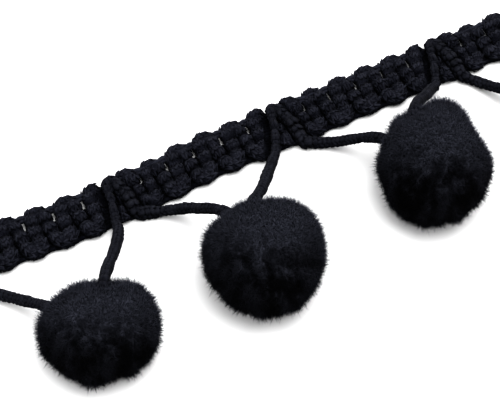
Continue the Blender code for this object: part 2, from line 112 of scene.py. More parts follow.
def add_mesh(name, places, edges=(), faces=(), values=None):
    """A mesh object, with a number at each point for every name in values."""
    mesh = bpy.data.meshes.new(name)
    mesh.from_pydata(places, edges, faces)
    for label, row in (values or {}).items():
        mesh.attributes.new(label, "FLOAT", "POINT").data.foreach_set("value", row)
    return add_object(name, mesh)


def triangles(piece):
    """How many triangles the export makes of the piece."""
    return sum(len(face.vertices) - 2 for face in piece.data.polygons)


def report(piece):
    seconds = round(time.time() - STARTED, 1)
    print(piece.name, "has", triangles(piece), "triangles, after", seconds, "s")


# %% [markdown]
# ## Camera, table and light
# The photograph looks down on the trim from the front and a little from the left. A long lens keeps
# the pompoms from growing towards the edges of the picture. The lens comes from the scale of the
# picture: so many pixels for each millimetre at the distance of the trim.

# %% The camera
AIM = Vector((-11.77, -10.84, 0.0)) * MM
DISTANCE = 280.0 * MM
AZIMUTH = math.radians(-26.75)
ELEVATION = math.radians(58.0)
PICTURE_WIDTH = 500  # pixels
PIXELS_PER_MM = 6.24
SENSOR = 36.0  # its width in millimetres, as the lens is given
NEAREST = 10.0 * MM  # nothing nearer to the camera is drawn

camera_data = bpy.data.cameras.new("camera")
camera_data.sensor_width = SENSOR
camera_data.lens = PIXELS_PER_MM * DISTANCE / MM / PICTURE_WIDTH * SENSOR
camera_data.clip_start = NEAREST
camera = add_object("camera", camera_data)
back = Vector((
    math.sin(AZIMUTH) * math.cos(ELEVATION),
    -math.cos(AZIMUTH) * math.cos(ELEVATION),
    math.sin(ELEVATION),
))
camera.location = AIM + back * DISTANCE
camera.rotation_euler = back.to_track_quat("Z", "Y").to_euler()
bpy.context.scene.camera = camera
print("lens", round(camera_data.lens, 1), "mm, camera at", tuple(round(v, 3) for v in camera.location))

# %% [markdown]
# Black yarn on a white table needs a lot of soft light. One broad lamp hangs almost straight over
# the trim, a little towards the camera and to the right, so each piece has its shade right under it.
# An even sky fills the rest. The table is exposed a little past white, so that only the shade close
# to the yarn still shows on it.

# %% The table, the lamp and the sky
TABLE_SIZE = 3.0  # like the lamp's place and size, in metres
LAMP_PLACE = Vector((0.06, -0.13, 0.7))
LAMP_SIZE = 0.45
LAMP_POWER = 11.0
SKY_STRENGTH = 3.9
TABLE_WHITE = 0.187
WHITE = (1.0, 1.0, 1.0, 1.0)
CONTRAST = "Very High Contrast"

half = TABLE_SIZE / 2
corners = [(-half, -half, 0.0), (half, -half, 0.0), (half, half, 0.0), (-half, half, 0.0)]
table = add_mesh("table", corners, faces=[(0, 1, 2, 3)])
table_finish = bpy.data.materials.new("table")
table_finish.use_nodes = True
table_shader = table_finish.node_tree.nodes["Principled BSDF"]
table_shader.inputs["Base Color"].default_value = (TABLE_WHITE, TABLE_WHITE, TABLE_WHITE, 1.0)
table_shader.inputs["Roughness"].default_value = 1.0
table_shader.inputs["Specular IOR Level"].default_value = 0.0
table.data.materials.append(table_finish)

lamp_data = bpy.data.lights.new("lamp", "AREA")
lamp_data.shape = "DISK"
lamp_data.size = LAMP_SIZE
lamp_data.energy = LAMP_POWER
lamp = add_object("lamp", lamp_data)
lamp.location = LAMP_PLACE
lamp.rotation_euler = (LAMP_PLACE - AIM).to_track_quat("Z", "Y").to_euler()

sky = bpy.data.worlds.new("sky")
sky.use_nodes = True
sky.node_tree.nodes["Background"].inputs["Color"].default_value = WHITE
sky.node_tree.nodes["Background"].inputs["Strength"].default_value = SKY_STRENGTH
bpy.context.scene.world = sky
bpy.context.scene.view_settings.view_transform = "Standard"
bpy.context.scene.view_settings.look = CONTRAST
print("lamp of", LAMP_POWER, "W and", LAMP_SIZE, "m")

# %% [markdown]
# ## A short way to write node trees
# A node tree is easier to read as a sum than as a list of links. Wire wraps one output of a node, and
# an expression such as 1 - mask adds its Math node. Tree adds any other node in one call: its type,
# its settings, which are set first because they can change its sockets, and its sockets' values.
# Both work in a material and in Geometry Nodes. What the trees below repeat has a short call too.

# %% Wire
def both_ways(operation):
    """An operator's Math node, for wire + other and for other + wire."""

    def forward(self, other):
        return self.math(operation, self, other)

    def reflected(self, other):
        return self.math(operation, other, self)

    return forward, reflected


class Wire:
    """One output of a node, with sums written as Python expressions."""

    __add__, __radd__ = both_ways("ADD")
    __sub__, __rsub__ = both_ways("SUBTRACT")
    __mul__, __rmul__ = both_ways("MULTIPLY")
    __truediv__, __rtruediv__ = both_ways("DIVIDE")
    __mod__, __rmod__ = both_ways("MODULO")
    at_least = both_ways("MAXIMUM")[0]
    at_most = both_ways("MINIMUM")[0]
    below = both_ways("LESS_THAN")[0]

    def __init__(self, tree, socket):
        self.tree = tree
        self.socket = socket

    def __getitem__(self, name):
        """Another output of the same node."""
        outputs = self.socket.node.outputs
        return Wire(self.tree, [item for item in outputs if item.enabled and item.name == name][0])

    def math(self, operation, *values):
        return self.tree.node("ShaderNodeMath", {"operation": operation}, dict(enumerate(values)))

    def floor(self):
        return self.math("FLOOR", self)

    def ramp(self, low, high):
        """A smooth rise from 0 at low to 1 at high."""
        inputs = {"Value": self, "From Min": low, "From Max": high}
        return self.tree.node("ShaderNodeMapRange", {"interpolation_type": "SMOOTHSTEP"}, inputs)


# %% Tree
class Tree:
    """A node tree that takes a node in one call."""

    def __init__(self, group):
        self.group = group

    def node(self, kind, settings=None, inputs=None):
        made = self.group.nodes.new(kind)
        for name, value in (settings or {}).items():
            setattr(made, name, value)
        for name, value in (inputs or {}).items():
            if isinstance(name, int):
                socket = made.inputs[name]
            else:
                socket = [item for item in made.inputs if item.enabled and item.name == name][0]
            for each in value if isinstance(value, list) else [value]:
                if isinstance(each, Wire):
                    self.group.links.new(each.socket, socket)
                else:
                    socket.default_value = each
        shown = [item for item in made.outputs if item.enabled]
        return Wire(self, shown[0]) if shown else None

    def noise(self, place, size, detail=2.0, roughness=0.6):
        """A noise whose patches are about as large as size."""
        return self.node("ShaderNodeTexNoise", {}, {
            "Vector": place, "Scale": 1.0 / size, "Detail": detail, "Roughness": roughness})

    def vector(self, operation, first, second):
        """Vector Math on two vectors, or on a vector and the number that scales it."""
        other = "Scale" if operation == "SCALE" else 1
        return self.node("ShaderNodeVectorMath", {"operation": operation}, {0: first, other: second})

    def split(self, vector):
        return self.node("ShaderNodeSeparateXYZ", {}, {"Vector": vector})

    def combine(self, x, y, z):
        return self.node("ShaderNodeCombineXYZ", {}, {"X": x, "Y": y, "Z": z})

    def place(self):
        return self.node("GeometryNodeInputPosition")

    def move(self, geometry, way, value):
        """The geometry moved by an Offset, or to a Position."""
        return self.node("GeometryNodeSetPosition", {}, {"Geometry": geometry, way: value})

    def read(self, name, kind="FLOAT"):
        """An attribute of the geometry."""
        return self.node("GeometryNodeInputNamedAttribute", {"data_type": kind}, {"Name": name})

    def store(self, geometry, name, value):
        """The geometry with a number kept at each point under a name."""
        return self.node("GeometryNodeStoreNamedAttribute", {"data_type": "FLOAT"}, {
            "Geometry": geometry, "Name": name, "Value": value})

    def random(self, low, high, seed, kind="FLOAT"):
        return self.node("FunctionNodeRandomValue", {"data_type": kind}, {
            "Min": low, "Max": high, "Seed": seed})

    def turn(self, rotation, axis, angle):
        """A rotation followed by a turn round one of its own axes."""
        by = self.node("FunctionNodeAxisAngleToRotation", {}, {"Axis": axis, "Angle": angle})
        return self.node("FunctionNodeRotateRotation", {"rotation_space": "LOCAL"}, {
            "Rotation": rotation, "Rotate By": by})


# %% [markdown]
# ## From a tree to a piece
# A Geometry Nodes tree works on an object as a modifier, and its named inputs are the sizes of the
# piece. Each tree that makes copies ends in Realize Instances and Set Material, because the export
# drops instances. The result could stay live, but as a plain mesh it can still be bent and shaded
# point by point.

# %% Groups, and the pieces that they grow
CLEARANCE = 0.02  # whatever a tree makes is lifted to this height at least
X_AXIS = (1.0, 0.0, 0.0)
Z_AXIS = (0.0, 0.0, 1.0)


def new_group(name, sizes):
    """A Geometry Nodes group with geometry in and out, and a named input for each size."""
    group = bpy.data.node_groups.new(name, "GeometryNodeTree")
    group.interface.new_socket("Geometry", in_out="INPUT", socket_type="NodeSocketGeometry")
    for label, kind in sizes.items():
        group.interface.new_socket(label, in_out="INPUT", socket_type="NodeSocket" + kind)
    group.interface.new_socket("Geometry", in_out="OUTPUT", socket_type="NodeSocketGeometry")
    tree = Tree(group)
    inlet = tree.node("NodeGroupInput")
    return tree, {label: inlet[label] for label in ("Geometry", *sizes)}


def copy_onto(tree, points, pattern, rotation, scale):
    """A real copy of the pattern at each point, its paleness times the point's shade: painted on the
    pile.
    """
    shape = tree.node("GeometryNodeObjectInfo", {}, {"Object": pattern})["Geometry"]
    copies = tree.node("GeometryNodeInstanceOnPoints", {}, {
        "Points": points, "Instance": shape, "Rotation": rotation, "Scale": scale})
    copies = tree.node("GeometryNodeRealizeInstances", {}, {"Geometry": copies})
    return tree.store(copies, "proud", tree.read("proud") * tree.read("shade"))


def delete_below(tree, points, lowest):
    """The points without those that lie too low."""
    height = tree.split(tree.place())["Z"]
    return tree.node("GeometryNodeDeleteGeometry", {"domain": "POINT"}, {
        "Geometry": points, "Selection": height.below(lowest)})


def end_tree(tree, parts, material):
    """Joins the parts, lifts what would be in the table, and ends as the export needs it."""
    whole = tree.node("GeometryNodeJoinGeometry", {}, {"Geometry": parts})
    place = tree.split(tree.place())
    above = tree.combine(place["X"], place["Y"], place["Z"].at_least(CLEARANCE * MM))
    whole = tree.move(whole, "Position", above)
    whole = tree.node("GeometryNodeSetShadeSmooth", {}, {"Geometry": whole})
    whole = tree.node("GeometryNodeRealizeInstances", {}, {"Geometry": whole})
    whole = tree.node("GeometryNodeSetMaterial", {}, {"Geometry": whole, "Material": material})
    tree.node("NodeGroupOutput", {}, {"Geometry": whole})
    return tree.group


def grow(name, source, group, values):
    """A plain mesh object from a source object and the tree that works on it."""
    modifier = source.modifiers.new(group.name, "NODES")
    modifier.node_group = group
    for item in group.interface.items_tree:
        if item.in_out == "INPUT" and item.name in values:
            modifier[item.identifier] = values[item.name]
    depsgraph = bpy.context.evaluated_depsgraph_get()
    mesh = bpy.data.meshes.new_from_object(source.evaluated_get(depsgraph), depsgraph=depsgraph)
    bpy.data.objects.remove(source, do_unlink=True)
    return add_object(name, mesh)


print("whatever grows is at least", CLEARANCE, "mm over the table")

# %% [markdown]
# ## Finishes
# The whole trim is one near-black navy yarn. What tells its parts apart is how the light meets the
# fibres: the thick cord shows soft round stitches, the festoon cord is finer, and the pile is matt,
# with hollows where its fibres part. Each part still gets colours of its own, the festoon cord's
# darker and the pile's paler: painted light and shade that give each part its brightness. A picture
# of yarn could be laid over each, but a noise has no seams and fits any shape. So each finish is a
# Principled shader with very little shine, in which three things change: the colour, the roughness
# and a fine bump. They read noises on Object coordinates and an attribute of paleness, which the
# meshes below carry: 0 deep in a crease and 1 on a crest. The colour is darker where it is low,
# which paints shade into creases, crevices and hollows.

# %% The finish of a yarn
FIBRE = 0.3  # size of the finest grain
TUFT = 1.3  # size of the paler and darker patches
TUFT_ROUGHNESS = 0.55
PAINTED_LIGHT_SHARE = 0.8  # how far a crest alone takes the colour from deep to crest
BUMP_STRENGTH = 0.6
DULLEST = 0.97  # roughness deep in a crease
CREST_SHINE = 0.12  # how much less rough a crest is
YARN_SPECULAR = 0.08

# Columns: name, colour deep in a crease and on a crest, bump height, share of patches and of grain.
# The step from the deep colour to the crest colour is painted shade. The crest colours differ
# between the parts of one yarn as painted light.
FINISHES = (
    ("knitted_yarn", (0.0005, 0.0006, 0.0016, 1.0), (0.0093, 0.0098, 0.0133, 1.0), 0.1, 0.9, 0.7),
    ("fine_yarn", (0.0005, 0.0006, 0.0014, 1.0), (0.0056, 0.0059, 0.0082, 1.0), 0.08, 0.8, 1.2),
    ("cut_pile", (0.0002, 0.0002, 0.0005, 1.0), (0.0190, 0.0200, 0.0256, 1.0), 0.03, 0.4, 0.2),
)


def yarn_finish(name, deep, crest, bump_height, patch_share, grain_share):
    """A matt finish with patches and grain, whose colour goes from deep to crest: painted shade."""
    material = bpy.data.materials.new(name)
    material.use_nodes = True
    material.node_tree.nodes.clear()
    tree = Tree(material.node_tree)
    place = tree.node("ShaderNodeTexCoord")["Object"]
    grain = tree.noise(place, FIBRE * MM)
    patch = tree.noise(place, TUFT * MM, roughness=TUFT_ROUGHNESS)
    # Painted shade: the colour is darker where this attribute is low, deep in creases and hollows.
    proud = tree.node("ShaderNodeAttribute", {"attribute_name": "proud"})["Fac"]
    share = proud * PAINTED_LIGHT_SHARE + (patch - 0.5) * patch_share + (grain - 0.5) * grain_share
    share = share.at_least(0.0).at_most(1.0)
    colour = tree.node("ShaderNodeMix", {"data_type": "RGBA"}, {
        "Factor": share, "A": deep, "B": crest})
    bump = tree.node("ShaderNodeBump", {}, {
        "Strength": BUMP_STRENGTH, "Distance": bump_height * MM, "Height": grain})
    shader = tree.node("ShaderNodeBsdfPrincipled", {}, {
        "Base Color": colour,
        "Roughness": DULLEST - share * CREST_SHINE,
        "Specular IOR Level": YARN_SPECULAR,
        "Normal": bump,
    })
    tree.node("ShaderNodeOutputMaterial", {}, {"Surface": shader})
    return material


yarn, festoon_yarn, pile_yarn = [yarn_finish(*row) for row in FINISHES]
print("finishes:", [item.name for item in (yarn, festoon_yarn, pile_yarn)])

# %% [markdown]
# ## The routes of the festoon cord
# The festoon cord comes first, because everything else gives way to it: the braid is pressed down
# under it and the pile parts where it goes in. Its route could be drawn by hand as a curve. A short
# list of places is easier to read and to mend: up over the braid, round a half circle, and back
# down to the pompoms on either side. A smooth curve through them is read at short steps.

# %% Places on the route
CHAIN_LINES = (-3.35, -1.15, 1.1, 3.15)  # the lines of chain stitch, across the braid
CROSSING_HEIGHT = 1.95  # height of the cord's middle where it lies in the braid
RIGHT_SINKS = 0.5  # the right leg lies this much lower, among the braid's own legs
RIGHT_FULLER = 0.32  # and is this much thicker, measured on the radius
LEFT_THINNER = 0.1  # the left leg is squeezed by this much
CHAIN_DIPS = (0.1, 0.28, 0.28, 0.1)  # how far each chain line pulls the cord down
CHAIN_PINCHES = (0.05, 0.13, 0.13, 0.05)  # and what share of its radius it takes
DIP_WIDTH = 0.55
SIDE_CHANGE = 1.5  # the left leg becomes the right one over this much cord, either way
HOLD_EDGE = (EDGE_CREST - 0.6, EDGE_CREST + 0.8)  # across: where the braid lets go of the cord
FESTOON_SWELL = 0.03  # how far a handled cord strays from its even radius
SWELL_RATES = (1.1, 0.43)  # how quickly it does so along the cord
HAIRPIN_RADIUS = 0.75
HAIRPIN_TURN = 2.55  # where the turn starts, across the braid
LEG_LEFT = -1.1  # the left leg at the turn, from the hairpin
LEFT_ROWS = (-EDGE_CREST, -2.2, 0.2)  # the left leg's places, across the braid
LEAN_POWER = 1.4  # how late the lean comes: 1 is a straight leg
TURN_STEPS = (180.0, 135.0, 90.0, 45.0, 0.0)
RIGHT_LEG = ((1.15, 0.4), (1.35, -2.3))  # along from the hairpin, and across
ROUTE_STEP = 0.15

# The left leg of each hairpin leans: how far it has moved along the braid by the lower edge.
LEANS = {-60.0: -2.9, -30.0: -2.5, 0.0: -3.8, 30.0: -4.0, 60.0: -3.1}

print("hairpins of the festoon cord:", len(LEANS))

# %% The runs from the braid's lower edge to the pompoms
# Columns: along, across, height
LEFT_RUNS = {
    -60.0: ((-63.6, -5.6, 1.6), (-65.2, -8.2, 0.95), (-67.0, -10.6, 0.95), (-69.4, -12.4, 0.95)),
    -30.0: ((-32.8, -6.6, 2.7), (-34.2, -9.4, 4.4), (-36.1, -12.7, 7.2), (-38.2, -16.0, 10.2),
            (-40.0, -18.9, 12.2), (-41.6, -21.5, 11.8)),
    0.0: ((-5.4, -6.2, 2.9), (-7.3, -8.7, 5.0), (-9.4, -11.5, 7.6), (-11.4, -14.1, 10.0),
          (-13.4, -16.3, 12.2), (-15.3, -18.3, 14.1), (-17.3, -20.6, 14.7), (-18.2, -23.2, 13.4)),
    30.0: ((24.3, -5.5, 3.2), (22.5, -7.3, 5.6), (20.6, -9.1, 8.2), (18.4, -10.9, 10.6),
           (16.5, -12.7, 12.8), (14.9, -14.7, 14.2), (13.7, -17.2, 13.8)),
    60.0: ((56.1, -6.4, 2.9), (54.0, -9.4, 4.6), (51.4, -12.6, 7.4), (49.3, -15.6, 10.6),
           (47.6, -18.2, 12.8), (46.6, -20.6, 12.6)),
}
RIGHT_RUNS = {
    -60.0: ((-58.8, -4.0, 1.25), (-57.0, -5.3, 0.95), (-54.6, -7.6, 1.3), (-52.4, -10.2, 2.2),
            (-50.6, -13.0, 4.0), (-49.2, -15.8, 6.2), (-47.8, -18.6, 8.0), (-46.2, -21.0, 8.6)),
    -30.0: ((-28.6, -4.0, 1.25), (-26.4, -5.1, 0.95), (-24.1, -6.4, 1.7), (-22.3, -8.2, 3.6),
            (-20.8, -10.6, 6.0), (-19.4, -13.4, 8.8), (-18.5, -16.4, 11.4), (-18.0, -19.4, 12.9),
            (-17.4, -22.0, 12.2)),
    0.0: ((1.5, -3.9, 1.25), (3.2, -5.0, 0.95), (4.9, -6.0, 1.2), (6.6, -7.6, 2.6),
          (8.2, -9.4, 4.6), (9.3, -11.2, 6.6), (10.2, -13.4, 8.6), (11.3, -15.8, 9.9),
          (12.6, -18.2, 10.2)),
    30.0: ((31.3, -4.0, 1.25), (32.9, -6.2, 1.1), (34.0, -8.6, 2.0), (35.0, -11.2, 3.8),
           (36.6, -14.0, 5.9), (38.8, -16.6, 7.8), (41.2, -19.2, 8.9), (43.2, -21.4, 9.0)),
    60.0: ((61.3, -3.9, 1.25), (63.4, -5.4, 0.95), (65.4, -7.0, 0.95), (67.0, -9.4, 0.95)),
}
print("runs:", len(LEFT_RUNS), "from left legs and", len(RIGHT_RUNS), "from right legs")

# %% A smooth curve through the places
def run_along(line):
    """The distance along the line at each of its points."""
    return np.concatenate([[0.0], np.cumsum(np.linalg.norm(np.diff(line, axis=0), axis=1))])


def between(first, last, start, end, now):
    """A value on its way from first at the start to last at the end."""
    return first + (last - first) * (now - start) / (end - start)


def smooth_route(points, step):
    """A smooth curve through the points, read at short steps."""
    points = np.array(points, float)
    ends = np.vstack([2 * points[0] - points[1], points, 2 * points[-1] - points[-2]])
    knots = np.concatenate([[0.0], np.cumsum(np.linalg.norm(np.diff(ends, axis=0), axis=1) ** 0.5)])
    curve = []
    for i in range(1, len(ends) - 2):
        p0, p1, p2, p3 = ends[i - 1:i + 3]
        t0, t1, t2, t3 = knots[i - 1:i + 3]
        count = max(2, math.ceil(np.linalg.norm(p2 - p1) / step))
        t = np.linspace(t1, t2, count, endpoint=False)[:, None]
        middle = between(p1, p2, t1, t2, t)
        before = between(between(p0, p1, t0, t1, t), middle, t0, t2, t)
        after = between(middle, between(p2, p3, t2, t3, t), t1, t3, t)
        curve.append(between(before, after, t1, t2, t))
    return np.vstack([*curve, points[-1:]])


print("a curve through four places has", len(smooth_route(LEFT_RUNS[HAIRPINS[0]], ROUTE_STEP)), "points")

# %% One hairpin with its two runs
def crossing(hairpin):
    """The hairpin over the braid, from its left leg's foot to its right leg's foot."""
    rows = []
    for across in LEFT_ROWS:
        share = (HAIRPIN_TURN - across) / (HAIRPIN_TURN - LEFT_ROWS[0])
        along = LEG_LEFT + (LEANS[hairpin] - LEG_LEFT) * share ** LEAN_POWER
        rows.append((hairpin + along, across, CROSSING_HEIGHT))
    middle = hairpin + LEG_LEFT + HAIRPIN_RADIUS
    for turn in TURN_STEPS:
        angle = math.radians(turn)
        along = middle + HAIRPIN_RADIUS * math.cos(angle)
        across = HAIRPIN_TURN + HAIRPIN_RADIUS * math.sin(angle)
        rows.append((along, across, CROSSING_HEIGHT - RIGHT_SINKS * (1 - turn / 180)))
    rows += [(hairpin + along, across, CROSSING_HEIGHT - RIGHT_SINKS) for along, across in RIGHT_LEG]
    return rows


def festoon_route(hairpin):
    """The cord's middle line, its radius, and how open the channel is that it lies in."""
    sideways = float(drift(hairpin))
    over = [(along, across + sideways, height) for along, across, height in crossing(hairpin)]
    line = smooth_route([*reversed(LEFT_RUNS[hairpin]), *over, *RIGHT_RUNS[hairpin]], ROUTE_STEP)
    run = run_along(line)
    right = smoothstep(-SIDE_CHANGE, SIDE_CHANGE, run - run[line[:, 1].argmax()])
    across = line[:, 1] - sideways
    inside = 1.0 - smoothstep(*HOLD_EDGE, np.abs(across))
    waves = np.sin(run * SWELL_RATES[0] + hairpin) + np.sin(run * SWELL_RATES[1])
    radius = CORD / 2 + FESTOON_SWELL * waves
    radius += inside * (RIGHT_FULLER * right - LEFT_THINNER * (1 - right))
    for place, dip, pinch in zip(CHAIN_LINES, CHAIN_DIPS, CHAIN_PINCHES):
        near = inside * np.exp(-((across - place) / DIP_WIDTH) ** 2)
        line[:, 2] -= dip * near
        radius *= 1.0 - pinch * near
    return np.column_stack([line, radius, 1.0 - right])


routes = {hairpin: festoon_route(hairpin) for hairpin in HAIRPINS}
for hairpin, line in routes.items():
    print("festoon cord at", hairpin, "is", round(run_along(line[:, :3])[-1], 1), "mm long")

# %% [markdown]
# ## A knitted cord, as a Geometry Nodes tree
# Both cords are knitted on a few needles, which leaves columns of V-shaped stitches along them. A
# bump on a plain tube would be flat at the outline, so the stitches are real lobes. The tree takes
# the cord's path, a line of edges whose points carry the attribute "girth", the cord's radius. It
# draws a plain core along the path, and then lays rings of stitches on it: a point for each course,
# copied once for each column, turned round the path and pushed out to the surface. Every other
# column leans the other way, and two neighbours make one V. The courses climb in a spiral, one
# course each time round, so no ring shows. Round the outside of a bend the courses spread out, and
# the stitches are longer there: the path's curvature, kept as the attribute "bend", says how much.
# A stitch is a small closed lobe of 20 triangles, since it is repeated thousands of times.

# %% One stitch
STITCH_SIDES = 5
STITCH_RINGS = ((-0.5, 0.85, -0.18), (0.45, 0.9, 0.16))  # place along, half width, how far out
STITCH_TIPS = ((-1.0, -0.35), (1.0, 0.2))  # place along, how far out
# Painted light: a stitch is paler where it stands out and darker where it tucks in.
STITCH_PAINTED_LIGHT = (0.65, 0.2)  # a stitch's paleness, and how much paler it is farther out


def ring(sides, half, aside, height):
    """Points evenly round an upright axis that lies aside along X."""
    angles = np.arange(sides) * math.tau / sides
    return [(aside + half * math.cos(angle), half * math.sin(angle), height) for angle in angles]


def stitch_lobe():
    """A lobe along Z that grows out along X: its upper end stands a little prouder."""
    places = [(STITCH_TIPS[0][1], 0.0, STITCH_TIPS[0][0])]
    for along, half, out in STITCH_RINGS:
        places += ring(STITCH_SIDES, half, out, along)
    places.append((STITCH_TIPS[1][1], 0.0, STITCH_TIPS[1][0]))
    upper, tip = STITCH_SIDES + 1, 2 * STITCH_SIDES + 1
    faces = []
    for side in range(STITCH_SIDES):
        after = (side + 1) % STITCH_SIDES
        faces.append((0, 1 + after, 1 + side))
        faces.append((1 + side, 1 + after, upper + after, upper + side))
        faces.append((tip, upper + side, upper + after))
    proud = [STITCH_PAINTED_LIGHT[0] + STITCH_PAINTED_LIGHT[1] * place[0] for place in places]
    return add_mesh("stitch", places, faces=faces, values={"proud": proud})


stitch = stitch_lobe()
report(stitch)

# %% The tree of a knitted cord
CORE_STEP = 0.7  # the core is drawn in steps of this share of a course
CORE_INSET = 0.8  # and lies this share of a stitch's thickness inside the cord's radius
# Painted shade: the core between the stitches is darker than they are.
CORE_PAINTED_LIGHT = 0.4
LEAN = math.radians(24)
LEAN_STRAY = 0.3  # how far a stitch strays from that lean, in radians
STITCH_OVERLAP = 1.25  # a stitch is this much wider than its share of the ring
STITCH_REACH = 0.72  # half a stitch's length, as a share of the course
STITCH_STRETCH = (0.7, 2.2)  # the least and the most stretch in a bend
STITCH_SWELLS = (0.78, 1.2)  # the thinnest and the thickest stitch
STITCH_SHADES = (0.75, 1.1)  # the darkest and the palest stitch


def upright_line(tree, path):
    """The path as a curve whose sides stay upright."""
    line = tree.node("GeometryNodeMeshToCurve", {}, {"Mesh": path})
    return tree.node("GeometryNodeSetCurveNormal", {"mode": "Z_UP"}, {"Curve": line})


def tube(tree, line, sides, radius):
    """A closed tube along the line."""
    section = tree.node("GeometryNodeCurvePrimitiveCircle", {}, {"Resolution": sides, "Radius": 1.0})
    return tree.node("GeometryNodeCurveToMesh", {}, {
        "Curve": line, "Profile Curve": section, "Scale": radius, "Fill Caps": True})


def knitted_cord_tree():
    """A core along the path, under rings of stitches."""
    tree, size = new_group("knitted cord", {
        "Stitch": "Object", "Course": "Float", "Columns": "Int", "Thickness": "Float",
        "Lowest": "Float", "Core sides": "Int", "Seed": "Int", "Material": "Material"})
    girth = tree.read("girth")
    line = upright_line(tree, size["Geometry"])
    core_line = tree.node("GeometryNodeResampleCurve", {"mode": "LENGTH"}, {
        "Curve": line, "Length": size["Course"] * CORE_STEP})
    core = tube(tree, core_line, size["Core sides"], girth - size["Thickness"] * CORE_INSET)
    core = tree.store(core, "proud", CORE_PAINTED_LIGHT)

    points = tree.node("GeometryNodeCurveToPoints", {"mode": "LENGTH"}, {
        "Curve": line, "Length": size["Course"]})
    rings = tree.node("GeometryNodeDuplicateElements", {"domain": "POINT"}, {
        "Geometry": points, "Amount": size["Columns"]})
    column = rings["Duplicate Index"]
    facing = tree.turn(points["Rotation"], Z_AXIS, column * (math.tau / size["Columns"]))
    climb = (column * 0.5).floor() * 2.0 / size["Columns"]
    reach = tree.combine(girth - size["Thickness"], 0.0, climb * size["Course"])
    out = tree.node("FunctionNodeRotateVector", {}, {"Vector": reach, "Rotation": facing})
    placed = delete_below(tree, tree.move(rings, "Offset", out), size["Lowest"])

    inward = tree.vector("DOT_PRODUCT", out, tree.read("bend", "FLOAT_VECTOR"))["Value"]
    stretch = (1.0 - inward).at_least(STITCH_STRETCH[0]).at_most(STITCH_STRETCH[1])
    swell = tree.random(*STITCH_SWELLS, size["Seed"] + 1)
    scale = tree.combine(
        size["Thickness"] * swell,
        girth * (math.pi * STITCH_OVERLAP) / size["Columns"] * swell,
        size["Course"] * STITCH_REACH * stretch)
    side = (column % 2.0) * 2.0 - 1.0
    stray = tree.random(-1.0, 1.0, size["Seed"])
    turned = tree.turn(facing, X_AXIS, side * LEAN + stray * LEAN_STRAY)
    placed = tree.store(placed, "shade", tree.random(*STITCH_SHADES, size["Seed"] + 2))
    stitches = copy_onto(tree, placed, size["Stitch"], turned, scale)
    return end_tree(tree, [core, stitches], size["Material"])


knitted_cord = knitted_cord_tree()
print("the tree of a knitted cord has", len(knitted_cord.nodes), "nodes")


# %% The path that the tree works on
BEND_PASSES = 3  # how often the curvature is smoothed


def path_object(name, line, girth):
    """A line of edges through the points, with the cord's radius and the curvature at each."""
    run = run_along(line)
    bend = np.gradient(np.gradient(line, run, axis=0), run, axis=0)
    for _ in range(BEND_PASSES):
        bend[1:-1] = (bend[:-2] + 2 * bend[1:-1] + bend[2:]) / 4
    edges = [(i, i + 1) for i in range(len(line) - 1)]
    made = add_mesh(name, (line * MM).tolist(), edges, values={"girth": girth * MM})
    bends = made.data.attributes.new("bend", "FLOAT_VECTOR", "POINT")
    bends.data.foreach_set("vector", (bend / MM).ravel())
    return made


print("a path carries girth and bend, which is smoothed", BEND_PASSES, "times")

# %% [markdown]
# ## The laid cord of the heading
# One cord makes the whole braid. It runs up and down across the braid, and its turns are the round
# bumps on both edges. Two legs lie close together inside each turn and part a little towards the
# other edge, which opens the small slits between the upper bumps. A chain line presses a crease
# into the cord wherever it passes, and the cord swells to a plump bead between two lines. The braid
# could be one relief, but a cord along its real path has its slits and round edges by itself.

# %% The path of the laid cord
LEG_SHARE = (0.42, 0.575)  # where a leg starts and ends, as a share of the way to the next turn
TURN_START = 2.3  # where a leg gives way to its turn, across the braid
LEG_RADIUS = 1.3
WIDEST_LEG = 1.55  # beside a hairpin the turns are farther apart, and the legs spread out flat
TURN_RADIUS = 1.25
TOP_BULGE = 1.08  # how much wider a turn is than its two legs
BOTTOM_BULGE = 1.0
BRAID_HEIGHT = 2 * LEG_RADIUS
PINCH = 0.18  # the share of its radius that an inner chain line takes
PINCH_WIDTH = 0.5
SQUEEZE = 0.03  # how much neighbouring legs press into each other
ARC_POWER = 0.95  # how square a turn is: 1 is a half circle
UNEVEN = 0.1  # how far the hand strays, in millimetres
HAND_SEED = 7
RECESS_RISE = 0.5  # the recess begins over this length, and ends over the next
RECESS_FALL = 1.6
LEG_PLACES = (0.0, 0.33, 0.67, 1.0)  # the points of a leg, from its start to its end
ARC_ANGLES = (22, 48, 75, 105, 132, 158)  # and of a turn, in degrees
LAID_STEP = 0.25


def top_turns():
    """Where the laid cord turns at the upper edge, along the braid."""
    found = []
    for hairpin in (HAIRPINS[0] - REPEAT, *HAIRPINS):
        found += [hairpin + offset for offset in TOP_TURNS]
    return [along for along in found if abs(along) < HEADING_END + TOP_TURNS[0]]


def recess_depth(along):
    """How far the lower edge gives way to the festoon cord, along the braid."""
    share = 0.0
    for hairpin in HAIRPINS:
        start, end = hairpin + RECESS[0], hairpin + RECESS[1]
        begun = smoothstep(start - RECESS_RISE, start, along)
        share = np.maximum(share, begun * (1.0 - smoothstep(end - RECESS_FALL, end, along)))
    return (EDGE_CREST - RECESS_EDGE) * share


print("turns at the upper edge:", len(top_turns()))


# %% Lay it turn by turn
def turn_arc(first, last, crest, start, bulge):
    """Half an ellipse from one leg to the next, without its two ends."""
    middle, half = (first + last) / 2, (last - first) / 2 * bulge
    places = []
    for angle in np.radians(ARC_ANGLES):
        cosine, sine = math.cos(angle), math.sin(angle)
        round_out = math.copysign(abs(cosine) ** ARC_POWER, cosine)
        places.append((middle - half * round_out, start + (crest - start) * sine ** ARC_POWER))
    return places


